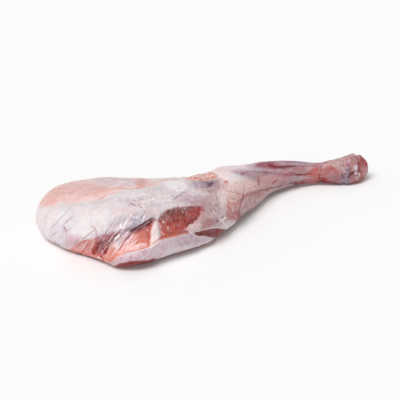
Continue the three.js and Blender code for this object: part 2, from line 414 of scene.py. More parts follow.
class Flesh:
    """The skin's points, with the tissue at each: its tint, how lean and how wet it is, its relief."""

    def __init__(self, skin):
        self.skin = skin
        count = len(skin.vertices)
        self.place = np.empty(count * 3)
        skin.vertices.foreach_get("co", self.place)
        self.place = self.place.reshape(-1, 3)
        self.out = np.empty(count * 3)
        skin.vertex_normals.foreach_get("vector", self.out)
        self.out = self.out.reshape(-1, 3)
        corners = [vertex.co for vertex in skin.vertices]
        self.tree = BVHTree.FromPolygons(corners, [polygon.vertices for polygon in skin.polygons])
        self.tint = np.tile(screen_colour(CREAM_FASCIA), (count, 1))
        self.lean = np.zeros(count)
        self.wet = np.full(count, FAT_WETNESS)
        self.rise = np.zeros(count)
        self.web = np.zeros(count)
        self.wobble = self.cloud(COARSE_WOBBLE) + FINE_WOBBLE_SHARE * self.cloud(FINE_WOBBLE, seed=5)
        self.look(PHOTO_VIEW)

    def look(self, view, clear_of=None):
        """Sets the view in which places are given from here on, clear of what shows in another."""
        self.view = view
        self.pixel = view.pixels(self.place)
        self.facing = self.out @ np.array(view.to_viewer)
        self.front = ease((self.facing + RIM_REACH) / RIM_FADE)
        if clear_of:
            self.front *= 1 - ease(self.out @ np.array(clear_of.to_viewer) / CLEAR_FADE)

    def cloud(self, size, seed=0, along=None, run=1):
        """Soft noise between -1 and 1, with swells of a size, drawn out along a direction."""
        scaled = self.place / size
        if along is not None:
            scaled = scaled - np.outer(scaled @ along, along) * (1 - 1 / run)
        scaled = scaled + seed * SEED_STEP
        return np.array([noise.noise(point) for point in scaled.tolist()])

    def direction(self, start, end):
        """The direction on the surface between two places of the view."""
        first, last = self.on_surface([start, end])
        return (last - first) / np.linalg.norm(last - first)

    def mottle(self, mask, colour, size, share, seed, along=None, run=1, sharp=2, rise=0):
        """Soft blotches of a tissue inside an area."""
        blotch = ease(BLOTCH_SPREAD + sharp * self.cloud(size * MM, seed, along, run))
        self.lay(mask * blotch, colour, share, rise=rise)

    def threads(self, mask, colour, size, share, seed, along=None, run=1, thin=0.12, rise=0):
        """A net of fine threads inside an area."""
        thread = ease(1 - np.abs(self.cloud(size * MM, seed, along, run)) / thin)
        self.lay(mask * thread, colour, share, rise=rise)

    def swell(self, mask, size, height, seed, along=None, run=1):
        """Swells of a size and a height in millimetres inside an area."""
        self.rise += mask * self.cloud(size * MM, seed, along, run) * height * MM

    def spread_web(self, mask, share=1):
        """A web of fine fibres over an area, which the material draws."""
        self.web = np.maximum(self.web, share * mask)

    def on_surface(self, route):
        """A route of the view, carried onto the surface."""
        found = []
        for u, v in route:
            hit = self.tree.ray_cast(self.view.eye, self.view.sight(u, v))[0]
            if hit is None:
                miss = np.hypot(*(self.pixel - (u, v)).T) + HIDDEN_PENALTY * (self.facing < 0)
                hit = Vector(self.place[np.argmin(miss)])
            found.append(hit)
        return np.array(found)

    def lay(self, mask, colour, share=1, lean=None, wet=None, rise=0):
        """Lays a share of a tissue over what is there, and raises it by millimetres."""
        self.rise += rise * MM * mask
        mask = mask * share
        self.tint += (screen_colour(colour) - self.tint) * mask[:, None]
        if lean is not None:
            self.lean += (lean - self.lean) * mask
        if wet is not None:
            self.wet += (wet - self.wet) * mask

    def area(self, outline, soft=1.5, ragged=0.6, through=False):
        """How far each point lies inside an outline, with a soft and slightly ragged edge."""
        edge = smooth_route(outline, closed=True)
        low, high = edge.min(0) - 2 * soft - EDGE_MARGIN, edge.max(0) + 2 * soft + EDGE_MARGIN
        near = np.flatnonzero(np.all((self.pixel > low) & (self.pixel < high), axis=1))
        points = self.pixel[near]
        gap = gap_to_route(points, np.concatenate([edge, edge[:1]]))[0]
        depth = np.where(inside_outline(points, edge), gap, -gap) + ragged * self.wobble[near]
        mask = np.zeros(len(self.place))
        mask[near] = ease(0.5 + depth / (2 * soft))
        return mask if through else mask * self.front

    def patch(self, colour, share=1, soft=1.5, ragged=0.6, through=False, lean=None, wet=None, rise=0,
              **outlines):
        """Patches of a tissue, each inside a named outline."""
        for outline in each_shape(outlines):
            self.lay(self.area(outline, soft, ragged, through), colour, share, lean, wet, rise)

    def glaze(self, glazes):
        """Thin patches, each by its colour, share and outline."""
        for colour, share, outline in glazes:
            self.patch(colour, share, GLAZE_SOFT, GLAZE_RAGGED, glazed=outline)

    def line(self, colour, width, share=1, ends=0.15, ragged=0.25, lean=None, wet=None, rise=0, **routes):
        """Lines of a tissue along named routes, width in millimetres, thinning out at their ends."""
        reach = width * MM
        for route in each_shape(routes):
            path = self.on_surface(smooth_route(route))
            low, high = path.min(0) - 2 * reach, path.max(0) + 2 * reach
            near = np.flatnonzero(np.all((self.place > low) & (self.place < high), axis=1))
            gap, along = gap_to_route(self.place[near], path)
            taper = ease(np.minimum(along, 1 - along) / ends)
            thin = LINE_END_WIDTH + (1 - LINE_END_WIDTH) * taper
            thick = reach * thin * (1 + ragged * self.wobble[near])
            fade = LINE_END_SHARE + (1 - LINE_END_SHARE) * taper
            mask = np.zeros(len(self.place))
            mask[near] = ease(LINE_CORE - gap / thick * LINE_CORE) * fade
            self.lay(mask, colour, share, lean, wet, rise)

    def strands(self, top, bottom, count, colours, width, share, seed, rise=0, wet=None):
        """Strands of tissue from one route to another, each a little out of line."""
        draw = np.random.default_rng(seed)
        starts, ends = smooth_route(top, steps=STRAND_STEPS), smooth_route(bottom, steps=STRAND_STEPS)
        for i in range(count):
            place = np.clip((i + draw.uniform(*STRAND_PLACES)) / count, 0, 1)
            start = starts[int(place * (len(starts) - 1))] + draw.normal(0, STRAND_STRAY, 2)
            end = ends[int(place * (len(ends) - 1))] + draw.normal(0, STRAND_STRAY, 2)
            top_cut = draw.uniform(0, STRAND_CUT)
            foot_cut = draw.uniform(0, STRAND_CUT - top_cut)
            start, end = start + (end - start) * top_cut, end + (start - end) * foot_cut
            bow = (start + end) / 2 + draw.normal(0, STRAND_BOW, 2)
            thick = width * draw.uniform(*STRAND_WIDTHS)
            plain = share * draw.uniform(*STRAND_SHARES)
            colour = colours[i % len(colours)]
            self.line(colour, thick, plain, STRAND_ENDS, rise=rise, wet=wet, strand=[start, bow, end])

    def spots(self, colour, reach, share=1, wet=None, rise=0, **places):
        """Round spots of a tissue at named places, reach in millimetres."""
        for centres in places.values():
            for middle in self.on_surface(centres):
                gap = np.linalg.norm(self.place - middle, axis=1) / (reach * MM)
                edge = SPOT_RAGGED * self.wobble * (gap < SPOT_CORE)
                self.lay(ease(SPOT_CORE - SPOT_CORE * gap + edge), colour, share, wet=wet, rise=rise)


def paint_underside(flesh):
    """The rib side, which lies on the table: lean under streaks of film."""
    under = ease((-flesh.out[:, 2] - UNDERSIDE_START) / UNDERSIDE_FADE)
    streaks = ease(0.5 + FILM_CONTRAST * flesh.cloud(FILM_STREAK, seed=3, along=LENGTHWAYS, run=3))
    flesh.lay(under, LEAN_RED, 0.85, lean=0.8, wet=0.5)
    flesh.lay(under * streaks, PALE_SINEW, 0.6, lean=0.2, wet=0.4)


def paint_elbow(flesh):
    """The film over the elbow, with its veins and the white knob behind it."""
    patch, line, spots = flesh.patch, flesh.line, flesh.spots
    patch(GREY_FILM, soft=4, ragged=1.5, wet=0.5, through=True, film_edge=[
        (196, 187), (204, 184), (216, 184), (226, 182), (240, 184), (262, 168), (300, 155), (385, 140),
        (385, 200), (262, 215), (232, 240), (224, 229), (212, 226), (192, 232), (187, 226), (192, 223),
        (202, 213), (200, 205), (188, 205), (182, 200), (190, 195)])
    beige = [(220, 183), (240, 181), (258, 177), (264, 187), (253, 192), (246, 196), (240, 203), (230, 207),
             (221, 204)]
    patch(BEIGE_FILM, soft=5, beige=beige)
    patch(TAN_FILM, 0.6, soft=3, tan=[
        (225, 193), (232, 191), (241, 194), (240, 200), (232, 203), (226, 201)])
    patch(GREY_FILM, 0.6, soft=3, low_film=[(196, 220), (204, 216), (214, 219), (212, 226), (200, 228)])
    patch(PALE_PEACH_FAT, 0.5, soft=3, pale_flap=[
        (188, 227), (192, 223.8), (196, 223), (199, 226), (196, 229.5), (190, 232)])
    web_edge = [(204, 192), (218, 186), (234, 186), (250, 180), (262, 176), (285, 176), (290, 186),
                (262, 215), (232, 240), (224, 229), (192, 230), (202, 213), (206, 206)]
    webbed = flesh.area(web_edge, soft=4, through=True)
    slant = flesh.direction(start=(206, 192), end=(226, 216))
    flesh.spread_web(webbed)
    flesh.mottle(webbed, BEIGE_FILM, 12, 0.35, seed=41)
    flesh.mottle(webbed, MAUVE_FILM, 9, 0.12, seed=42)
    flesh.mottle(webbed, BLOOD_RED, 7, 0.16, seed=43, sharp=2.5)
    flesh.mottle(webbed, PALE_PEACH_FAT, 5, 0.25, seed=44, along=slant, run=2.5, rise=0.15)
    flesh.mottle(webbed, MAUVE_FILM, 3.4, 0.16, seed=70, sharp=2.5)
    flesh.mottle(webbed, CREAM_FASCIA, 2.6, 0.25, seed=71, along=slant, run=2, sharp=3, rise=0.12)
    flesh.threads(webbed, VEIN, 11, 0.2, seed=45, thin=0.05)
    flesh.threads(webbed, BLOOD_RED, 7, 0.25, seed=72, thin=0.045)
    flesh.threads(webbed, CREAM_FASCIA, 5, 0.4, seed=46, along=slant, run=4, thin=0.1, rise=0.15)
    flesh.swell(webbed, 4, 0.22, seed=47)
    flush_edge = [(228, 199), (239, 194), (250, 190), (264, 186), (268, 194), (262, 204), (248, 213),
                  (238, 222), (228, 224), (223, 212)]
    flushed = flesh.area(flush_edge, soft=4)
    flesh.mottle(flushed, BLOOD_RED, 6, 0.36, seed=81)
    patch(PALE_PEACH_FAT, 0.45, soft=5, beige=beige)
    flesh.threads(flushed, BRIGHT_BLOOD, 8, 0.55, seed=82, thin=0.07)
    patch(JOINT_TAN, 0.55, soft=2.4, ragged=1.6, brown_films=(
        [(199, 202.6), (204, 203.6), (206, 210), (204.6, 217), (201, 222), (196, 224), (199, 218),
         (202, 212.6)],
        [(201, 222), (207, 219.6), (213, 218.4), (217, 219), (217, 225), (211, 226.6), (204, 227.6)]))

    # The white knob at the point of the elbow, and a pale stripe of fibres below it.
    knob = [(204, 172), (214, 165), (232, 160), (256, 160), (254, 167), (236, 170), (234, 176), (240, 180),
            (234, 184), (222, 182), (212, 178)]
    knob_fat = flesh.area(knob, soft=3, through=True)
    flesh.lay(knob_fat, SINEW)
    flesh.mottle(knob_fat, PALE_PEACH_FAT, 9, 0.3, seed=74)
    flesh.mottle(knob_fat, LAVENDER_FASCIA, 6, 0.3, seed=75)
    flesh.threads(knob_fat, DEEP_PEACH_FAT, 8, 0.25, seed=76, thin=0.06)
    patch(PALE_PEACH_FAT, 0.5, soft=3, knob_blush=[
        (214, 170), (222, 168), (226, 176), (220, 181), (214, 177)])
    patch(WHITE_FASCIA, 0.3, soft=2.5, ragged=1.5, pale_stripe=[
        (219, 187), (226, 187), (229, 194), (226, 205), (224, 214), (220, 214), (219, 203)])
    line(WHITE_FASCIA, 1.2, 0.55, rise=0.3, ragged=0.9, white_flecks=(
        [(222.6, 188.8), (225.4, 189.8)], [(221.4, 194), (222.2, 197.4)], [(223, 200.4), (226.4, 201.6)],
        [(220.6, 199), (221.4, 203)], [(224.6, 205), (226, 208)], [(217, 193.6), (218.6, 196.6)],
        [(229, 187.6), (231.4, 188.6)], [(222.4, 209), (222, 213)], [(214, 197), (216, 200)]))

    # Blood and veins in the film.
    patch(BLOOD_RED, 0.5, soft=2.6, ragged=2, blood=[
        (229, 212.5), (234, 210.5), (238.5, 212), (239, 219), (236, 222), (230, 221)])
    patch(BLOOD_RED, 0.15, soft=4, ragged=2, flush=[
        (225, 205), (232, 200), (241, 199), (240, 206), (236, 211), (228, 212)])
    spots(PALE_PEACH_FAT, 1.8, 0.6, pale_specks=((233, 210.6), (235.4, 217.6), (231.4, 215)))
    main_vein = [(238.5, 219.5), (239, 214), (239.6, 208), (240.3, 203), (242.3, 199.5), (243.6, 197)]
    line(PURPLE_FILM, 4, 0.6, rise=0.3, ragged=0.6, main_vein=main_vein)
    line(VEIN_BLUE, 1.8, 0.6, ragged=0.7, main_vein=main_vein)
    line(MAROON, 2.2, 0.7, ragged=0.6, vein_foot=[(238.6, 219.6), (238.5, 216), (238.9, 212)])
    line(BLOOD_MAROON, 4.2, 0.6, rise=0.3, ragged=0.8, upper_vein=[
        (243.6, 196.6), (247, 195), (251, 193.6), (256, 192.2), (262, 190.4)])
    line(VEIN, 2.2, 0.75, rise=0.3, ragged=0.6, shank_vein=[
        (260, 190.8), (267, 189.2), (272, 187.8), (276.5, 186.6), (281.5, 185.7), (287, 184.2),
        (293, 183.2)])
    line(DARK_BLOOD, 2.9, 0.85, rise=0.3, ragged=0.8, vein_fork=(
        [(241.8, 194.8), (243.4, 196.4), (243, 199)], [(238, 211), (238.3, 215.5)]))
    line(CLOT_DARK, 1.7, 0.85, ragged=0.6, vein_clots=(
        [(260.5, 190.4), (264, 189.6)], [(269, 188.4), (273.6, 187)], [(277, 186.3), (282, 185.5)]))
    spots(BLOOD_RED, 2.1, 0.7, blood_spots=((237.5, 202), (228.3, 206.5), (228.6, 208.6), (232, 217)))
    line(BRIGHT_BLOOD, 1.3, 0.5, ragged=0.9, capillaries=(
        [(244.6, 185.8), (244.2, 188), (243.6, 190.5)], [(239, 193.7), (241.5, 194.5), (243.3, 196.5)],
        [(229, 203), (233, 204), (236, 202.5)], [(229, 208), (233, 205), (238, 202.5)],
        [(246, 199), (250, 203), (249, 207)], [(234.5, 184), (236.5, 182.2), (238, 181.4)],
        [(223, 189.5), (228, 191.5), (232, 191)], [(226, 206), (231, 210)], [(233, 212), (237, 215)],
        [(227, 196), (232, 199), (236, 199.5)], [(248, 200), (252, 197)], [(220.5, 190.3), (223, 191.6)],
        [(230, 214), (234, 218), (237, 218)], [(247, 189), (252, 188), (256, 185)], [(232, 193), (236, 190)],
        [(233, 192), (238, 193.6), (242, 194)], [(230, 201), (227.6, 204), (227.4, 208)]))
    patch(GREY_FILM, 0.45, soft=2.4, ragged=1.6, knob_shade=[
        (217, 179.6), (224, 179), (229, 184), (227, 189), (220, 189)])
    patch(BLOOD_RED, 0.3, soft=2.2, ragged=1.8, vein_flush=[
        (233, 206), (237, 201), (242, 195), (246, 196), (243, 203), (239, 209), (235, 210)])
    patch(TAN_SKIN, 0.4, soft=2.6, ragged=1.6, tan_edge=[
        (243, 203), (250, 199.6), (257, 201), (251, 209), (244, 211)])
    spots(BLOOD_RED, 4.5, 0.4, red_glow=[(226, 182)])
    line(BRIGHT_BLOOD, 2.8, 0.9, red_spot=[(225.2, 181.3), (227.4, 182.2)])
    line(TAN_SKIN, 1.7, 0.6, brown_mark=[(223.3, 184.5), (223.6, 188)])

    # Painted highlights on the wet film, a pale rim along the lower edge, and a painted shadow in the notch
    # at the edge.
    line(WET_WHITE, 1.4, 0.9, wet=1, rise=0.6, ends=0.2, ragged=1.1, wet_film=(
        [(218, 222.4), (220, 220.8), (222, 219.8), (224.6, 218), (228.4, 217.2)],
        [(221.6, 220.2), (223.2, 222), (224.2, 224)], [(222.5, 230), (223.7, 227.5)]))
    # More painted highlights: short white squiggles on the film.
    line(WHITE_FASCIA, 1.1, 0.85, wet=0.9, rise=0.4, ragged=0.6, torn_threads=(
        [(214, 224.3), (217, 225), (220.5, 226.8)], [(216.4, 222.4), (213.5, 224.5)],
        [(217.4, 223.4), (220, 223.6)], [(219, 220), (217.8, 218.4)], [(225, 218), (224.2, 215.8)]))
    patch(MAUVE_FILM, 0.45, soft=1.6, ragged=1.4, grey_film=[
        (211.6, 219.6), (215, 217.4), (219, 219), (220, 224), (216, 226.6), (212.6, 224.6)])
    spots(CREVICE_DARK, 1.9, 0.95, rise=-0.6, dark_pits=((217.3, 221), (222.8, 217.2)))
    spots(MAUVE_FILM, 1.8, 0.9, rise=-0.5, grey_pits=((219, 225.2), (215.4, 223.4), (218.4, 226.4)))
    patch(WHITE_FASCIA, 0.6, soft=1.6, ragged=1.4, rim_fat=[
        (222, 226.6), (227, 222), (233, 219.6), (235.6, 221.6), (230, 226), (224, 230)])
    line(WHITE_FASCIA, 3, 0.85, rise=0.5, ragged=0.6, lower_rim=[(224, 230), (230, 225.6), (236, 221.6)])
    # The dark notch at the edge is a painted shadow.
    patch(DEEP_MAROON, 0.6, soft=2.6, ragged=1.5, rise=-0.6, edge_notch=[
        (239.5, 217.2), (243.6, 213.6), (248.6, 211), (251, 213), (247, 219), (242, 223)])
    patch(BLOOD_RED, 0.3, soft=2, ragged=1.6, point_flush=[
        (230, 218), (235, 212), (239, 213), (239, 218), (234, 221)])
    patch(BLOOD_RED, 0.22, soft=2, ragged=1.6, rim_flush=[
        (203, 222), (209, 219.6), (213, 222), (211, 228), (204, 229.4)])


def paint_torn_fat(flesh):
    """The torn fat at the edge of the cap, and the bluish hollow in front of the elbow's point, with painted
    shade in it.
    """
    patch, line, spots = flesh.patch, flesh.line, flesh.spots
    patch(STRIP_LAVENDER, 0.2, soft=2.4, ragged=1.5, smear=[
        (184, 181), (190, 180.4), (196, 181), (196, 186), (190, 186), (185, 184)])
    # The hollow: a bluish film, darkened with painted shade towards its core.
    patch(HOLLOW_BLUE, 0.75, soft=2.4, ragged=1.6, rise=-0.4, hollow=[
        (192.6, 181.4), (197, 181), (205, 180.2), (213, 179.4), (219.4, 178.8), (219.4, 182), (216.4, 185.4),
        (211, 187.6), (203, 187.4), (197, 187.8), (194.6, 186)])
    patch(HOLLOW_SHADE, 0.7, soft=1.9, ragged=1.6, hollow_shade=[
        (199, 181.8), (206, 181), (213, 180.2), (218.4, 179.4), (217, 183), (212, 186), (206, 185.2)])
    patch(HOLLOW_CORE, 0.65, soft=1.6, ragged=1.8, rise=-0.5, hollow_core=[
        (207.2, 182.2), (212.8, 181), (213.6, 183.2), (211.4, 186.6), (209, 186.8), (207.2, 184.6)])
    line(HOLLOW_CORE, 1.3, 0.6, ragged=0.7, core_streaks=(
        [(209.4, 181.6), (210.6, 183.4), (209.6, 186.4)], [(212.4, 181.4), (211.6, 184)]))
    patch(LAVENDER_FASCIA, 0.5, soft=1.4, ragged=1, hollow_light=[
        (197.4, 184.6), (200.5, 184), (201, 187), (198, 187.8)])
    line(STRIP_LAVENDER, 1.3, 0.65, ragged=0.8, hollow_streaks=(
        [(203, 183), (204.6, 185.6)], [(206.4, 183.6), (207, 186)], [(200.6, 182.4), (202.6, 184)]))
    patch(GREY_FILM, 0.8, soft=1.7, ragged=1.8, brown_film=[
        (213.6, 184.2), (218, 183), (220.6, 187), (218.6, 190.6), (214, 189)])
    line(TAN_SKIN, 1.3, 0.6, ragged=0.8, brown_flecks=(
        [(215, 185), (216.4, 187.6)], [(218, 184), (219.4, 187.4)], [(216.6, 188.6), (219, 190.4)]))
    spots(CREAM_FASCIA, 1.6, 0.85, rise=0.2, white_beads=((206.8, 187.6), (204, 188), (222.2, 186.6)))
    line(TAN_SKIN, 1.3, 0.65, rise=0.3, ragged=0.7, hollow_side=[(197, 182.4), (196, 184.6), (196.8, 187.8)])
    line(PALE_PEACH_FAT, 1.7, 0.6, rise=0.5, hollow_rim=[(197, 189), (203, 189.2), (209, 189), (214, 188)])
    line(TAN_SKIN, 1.5, 0.6, ragged=0.7, brown_streak=[(202, 190.5), (205, 190.9), (208, 190.3), (214, 191)])
    patch(PALE_PEACH_FAT, 0.45, soft=1.5, peach_smear=[
        (196.4, 189), (200.6, 189), (200.8, 193.4), (197, 194)])
    patch(SINEW, 0.45, soft=2, ragged=1.4, pale_film=[(198, 191), (206, 191.4), (209, 194.6), (201, 196.4)])
    patch(CREAM_FASCIA, 0.55, soft=1.8, ragged=1.5, cream_film=[
        (189, 191), (194, 190), (198, 191.6), (197, 195), (190, 195.4)])
    torn = [(186, 179.6), (191, 177.3), (196, 175), (201, 173.6), (206, 172.8), (210, 172.6), (214, 174),
            (217, 176), (216, 178.3), (211, 179.2), (205, 179.9), (199, 180.2), (193, 180.3)]
    torn_fat = flesh.area(torn, soft=1.2, ragged=1.2)
    flesh.lay(torn_fat, TORN_PEACH, 0.9, rise=0.8)
    flesh.mottle(torn_fat, RUST, 7, 0.32, seed=90, sharp=2.5)
    flesh.threads(torn_fat, RUST, 8, 0.5, seed=91, thin=0.12, rise=0.2)
    flesh.threads(torn_fat, RUST, 4.5, 0.4, seed=106, thin=0.16, rise=0.2)
    flesh.mottle(torn_fat, WHITE_FASCIA, 4, 0.4, seed=92, sharp=3)
    # A painted shadow under the torn fat.
    line(MAUVE_FILM, 1.3, 0.4, rise=-0.5, torn_foot=[(188, 180.4), (197, 180.7), (207, 180.3), (216, 179.3)])
    rust_strands = (
        [(187.5, 179.4), (191, 177.6), (196, 176), (201, 175), (205, 174.2), (210, 174), (213, 175),
         (215.6, 176)],
        [(190, 178.9), (196, 179.1), (201, 177.6), (206, 178.6), (211, 178), (216, 177)],
        [(194, 177.6), (200, 176.4), (205, 176.7), (210, 175.4)],
        [(205, 174.9), (209, 174.2), (213, 175), (211, 176.4)],
        [(215, 176), (216.4, 177), (214.4, 178.4), (210, 178.7)], [(199, 179.7), (204, 179.2), (209, 179.6)],
        [(208.5, 173.8), (210, 174.8), (212, 174.4)], [(189, 179.2), (193, 178), (197, 178.4)],
    )
    line(DEEP_PEACH_FAT, 3, 0.35, ragged=1.2, rust_strands=rust_strands)
    line(RUST, 1.3, 0.5, rise=0.6, ragged=1.4, rust_strands=rust_strands)
    line(CREAM_FASCIA, 1.6, 0.85, rise=0.4, ragged=0.9, cream_streaks=(
        [(191, 178.6), (198, 177.2), (205, 175.6)], [(199, 178.6), (207, 177.6), (213, 176.6)],
        [(203, 174.8), (210, 174.8)]))
    spots(RUST, 2.2, 0.6, rust_knots=((210.6, 174), (191.5, 178.3), (213.5, 177), (196, 178.6)))
    spots(WET_WHITE, 1.3, 0.9, wet=0.9, rise=0.5, beads=(
        (196.3, 177.4), (201.2, 175.8), (203, 178.4), (207.6, 176.4), (212.4, 176.2)))


def paint_shank(flesh):
    """The shank: purple lean that shows through its film, between pale sinews."""
    patch, line, spots = flesh.patch, flesh.line, flesh.spots
    length = flesh.direction(start=(270, 172), end=(325, 170))
    patch(SHANK_FILM, 0.8, soft=4, through=True, film=[
        (246, 172), (262, 164), (280, 156), (350, 150), (350, 195), (296, 195), (284, 184), (262, 182),
        (254, 180)])
    shank_edge = [(256, 170), (270, 150), (342, 150), (344, 195), (290, 195), (262, 184)]
    shank = flesh.area(shank_edge, soft=5, through=True)
    flesh.spread_web(shank)
    flesh.mottle(shank, BONE_WHITE, 4, 0.4, seed=51, along=length, run=6)
    flesh.mottle(shank, MAROON, 5, 0.14, seed=52, along=length, run=6)
    flesh.mottle(shank, TAN_SKIN, 6, 0.4, seed=53, along=length, run=3)
    flesh.mottle(shank, SHANK_PALE, 2.2, 0.3, seed=77, along=length, run=4, sharp=3, rise=0.1)
    flesh.threads(shank, MAROON, 8, 0.2, seed=54, along=length, run=3, thin=0.06)
    flesh.threads(shank, VEIN, 4, 0.22, seed=78, along=length, run=3, thin=0.07)
    flesh.swell(shank, 3, 0.25, seed=55, along=length, run=5)

    # Pale sinews and the films between them.
    patch(BEIGE_FILM, 0.45, soft=3, beige=[
        (262, 176), (275, 175.5), (283, 177), (280, 182), (270, 185), (262, 184)])
    patch(TAN_SKIN, 0.6, soft=1.8, tan=[
        (291, 167.6), (301, 167.2), (310, 168), (310, 172), (300, 172.4), (292, 171.6)])
    patch(HOLLOW_BLUE, 0.35, soft=1.5, through=True, upper_band=[
        (273, 162.6), (290, 162.4), (306, 163.2), (320, 163.6), (316, 165.6), (300, 165.2), (284, 164.8)])
    patch(SHANK_LIGHT, 0.7, soft=1.3, middle_band=[
        (250, 167.6), (262, 168.4), (276, 169.6), (284, 169.6), (284, 171.6), (270, 171.4), (256, 170.6)])
    patch(SHANK_PALE, 0.35, soft=2, lower_band=[
        (278, 176.4), (292, 177), (310, 176), (312, 178.6), (298, 180), (284, 180.6)])
    patch(SHANK_PALE, 0.55, soft=1.6, ragged=1, lavender_films=(
        [(270, 171.8), (283, 172.6), (283, 175.6), (274, 177), (268, 175)],
        [(299, 176.6), (306, 176), (311, 176.8), (308, 179.2), (301, 179.4)]))
    line(SHANK_LIGHT, 1.2, 0.6, rise=0.3, wet=0.6, ragged=0.6, band_lights=(
        [(288, 163.6), (297, 164), (306, 164.4)], [(304, 163.2), (315, 164.2)], [(278, 162.6), (287, 162.4)],
        [(264, 169.2), (274, 170.2), (282, 170.6)], [(300, 177.6), (307, 177.2)]))

    # Purple lean, from the elbow to the middle of the shank.
    patch(STRIP_LAVENDER, 0.8, soft=2, lavender_start=[
        (230, 171.6), (236, 169.8), (243, 169.4), (250, 170.6), (256, 172), (250, 175.6), (240, 174.6)])
    patch(PURPLE_FILM, 0.5, soft=2.6, ragged=2, purple_start=[
        (234, 171.4), (242, 170.4), (249, 171.6), (250, 175), (244, 176.6), (239, 174)])
    line(PURPLE_CLOT, 2.6, 0.45, ragged=1, purple_flecks=(
        [(241, 173.4), (241.8, 176)], [(243, 172.4), (242.6, 175)], [(244.6, 172), (245.4, 174.6)],
        [(247, 173.4), (248.4, 176)]))
    spots(PURPLE_CLOT, 4.6, 0.5, purple_clot=[(243, 174)])
    patch(GREY_FILM, 0.75, soft=2.5, mauve_start=[
        (249, 172.6), (256, 172.8), (260, 176), (258, 181), (252, 180), (248, 176.5)])
    patch(PURPLE_FILM, 0.5, soft=2, purple_haze=[
        (246, 166), (254, 163), (262, 162.6), (262, 167.5), (256, 167.8)])
    patch(SHANK_LEAN, 0.9, soft=1.6, ragged=1, wet=0.5, purple_lean=[
        (255, 166), (259, 163), (264, 161.4), (270, 160.6), (274, 162.6), (278, 165), (284, 165.8),
        (296, 166), (289, 167.4), (281, 168.6), (272, 169), (264, 167.4)])
    line(DARK_PURPLE, 2.2, 0.45, ragged=0.7, lean_streaks=(
        [(257, 165.4), (264, 163.6), (270, 163.4)], [(260, 166.8), (266, 166), (272, 167.6)],
        [(266, 162.2), (270, 163.6), (275, 166)], [(267, 165), (272, 166.2), (279, 167.6)]))
    line(MAROON, 2.4, 0.7, ragged=0.5, dark_lean=[
        (267, 164.4), (271, 165.2), (275, 167), (281, 167.4), (288, 166.4), (297, 166.2)])
    line(PINK_FILM, 1.1, 0.3, wet=0.8, ragged=0.7, lean_lights=(
        [(258, 163.6), (264, 162)], [(262, 165), (267, 164.6)]))

    # Furrows between the sinews.
    line(CLOT_DARK, 1.4, 0.75, rise=-0.5, ragged=0.6, dark_furrow=[
        (275, 167.6), (283, 166.7), (290, 165.9), (300, 166.3)])
    line(VEIN, 1.3, 0.55, rise=-0.3, ragged=0.6, faint_furrow=[
        (298, 166.2), (310, 166.4), (322, 166.3), (328, 165.6)])
    line(CLOT_DARK, 1.5, 0.8, ragged=0.6, furrow_tail=[(283.4, 166.6), (284.2, 168.4), (284, 170.4)])
    line(PURPLE_CLOT, 1.7, 0.8, ragged=0.6, top_edge=[
        (276, 161.4), (284, 161.7), (292, 162.2), (301, 162.7)])
    line(PURPLE_FILM, 1.3, 0.6, top_tail=[(300, 162.6), (309, 162.9), (318, 162.9)])
    line(PURPLE_FILM, 1.8, 0.5, rise=-0.4, ragged=0.7, middle_start=[
        (241, 171.4), (250, 171.5), (258, 171.9), (265, 172.4), (272, 173.8), (281, 174.3)])
    line(VEIN, 1.9, 0.65, rise=-0.5, ragged=0.8, middle_furrow=[
        (277, 174.2), (288, 174.7), (297, 174.5), (303, 174.9)])
    line(MAROON, 1.9, 0.9, rise=-0.6, ragged=0.6, middle_dark=[
        (295, 174.9), (303, 174.9), (308, 174.2), (313, 173.2)])
    line(VEIN, 1.2, 0.6, ragged=0.8, upper_cut=[(288.6, 173.4), (293, 172.6), (297, 172.9)])
    line(VEIN, 1.1, 0.5, ragged=0.9, brown_flecks=(
        [(285.4, 169.8), (286.4, 172)], [(287.6, 169), (289, 170.6)], [(280.5, 171), (283, 172)],
        [(289.6, 171.4), (291, 173)], [(293, 168.6), (295, 170)]))
    line(BEIGE_FILM, 1.2, 0.6, ragged=0.9, pale_flecks=(
        [(286.4, 170.4), (287.4, 172.4)], [(290, 169), (291.6, 170.2)], [(284.6, 171.6), (285.6, 173)]))

    # Blood at the thin end; dark red along the lower edge, deepened with painted shade.
    patch(BLOOD_RED, 0.3, soft=3.4, ragged=2, shank_flush=[
        (256, 185), (266, 180), (277, 171), (287, 169.6), (290, 175.6), (288, 181), (275, 186), (266, 194),
        (257, 197)])
    patch(DARK_BLOOD, 0.25, soft=2, ragged=1.5, upper_flush=[
        (262, 168), (270, 165.6), (277, 167), (275, 172), (265, 173)])
    patch(BLOOD_RED, 0.35, soft=2, ragged=1.5, wrist_flush=[
        (309, 171), (316, 168.6), (321, 171), (318, 177), (311, 177)])
    blood_edge = [(311, 172), (315, 166.6), (324, 166), (334, 170), (334, 180), (325, 184), (314, 184),
                  (309, 178)]
    blood = flesh.area(blood_edge, soft=5, ragged=1.5, through=True)
    flesh.lay(blood, BLOOD_RED, 0.55)
    flesh.mottle(blood, BLOOD_RED, 4, 0.5, seed=83, along=length, run=2.5)
    flesh.mottle(blood, JOINT_PINK, 2.5, 0.35, seed=84, along=length, run=3)
    line(BRIGHT_BLOOD, 1.7, 0.7, ragged=0.8, bright_blood=(
        [(310.6, 167.8), (312.6, 169.2), (315, 171)], [(313.4, 170), (315.4, 172.4), (314.6, 174)],
        [(318, 166.6), (316.6, 168.6), (317, 170.6)], [(319.6, 170.4), (323, 170)],
        [(316, 162.4), (320, 163.2)], [(324, 174.5), (327, 173.5)], [(313, 177), (316, 178.6)],
        [(315.6, 171), (317.4, 173.4)]))
    line(DARK_BLOOD, 2, 0.9, ragged=0.5, dark_blood=(
        [(319.2, 173), (319, 176), (318.4, 179.4)], [(271.6, 183.8), (274.5, 182), (277.4, 179.9)]))
    line(BLOOD_RED, 2.6, 0.6, ragged=0.8, upright_mark=[(258.6, 176), (258.4, 180), (258.9, 183)])
    spots(DARK_BLOOD, 2.3, 0.9, mark_foot=[(258.5, 183.6)])
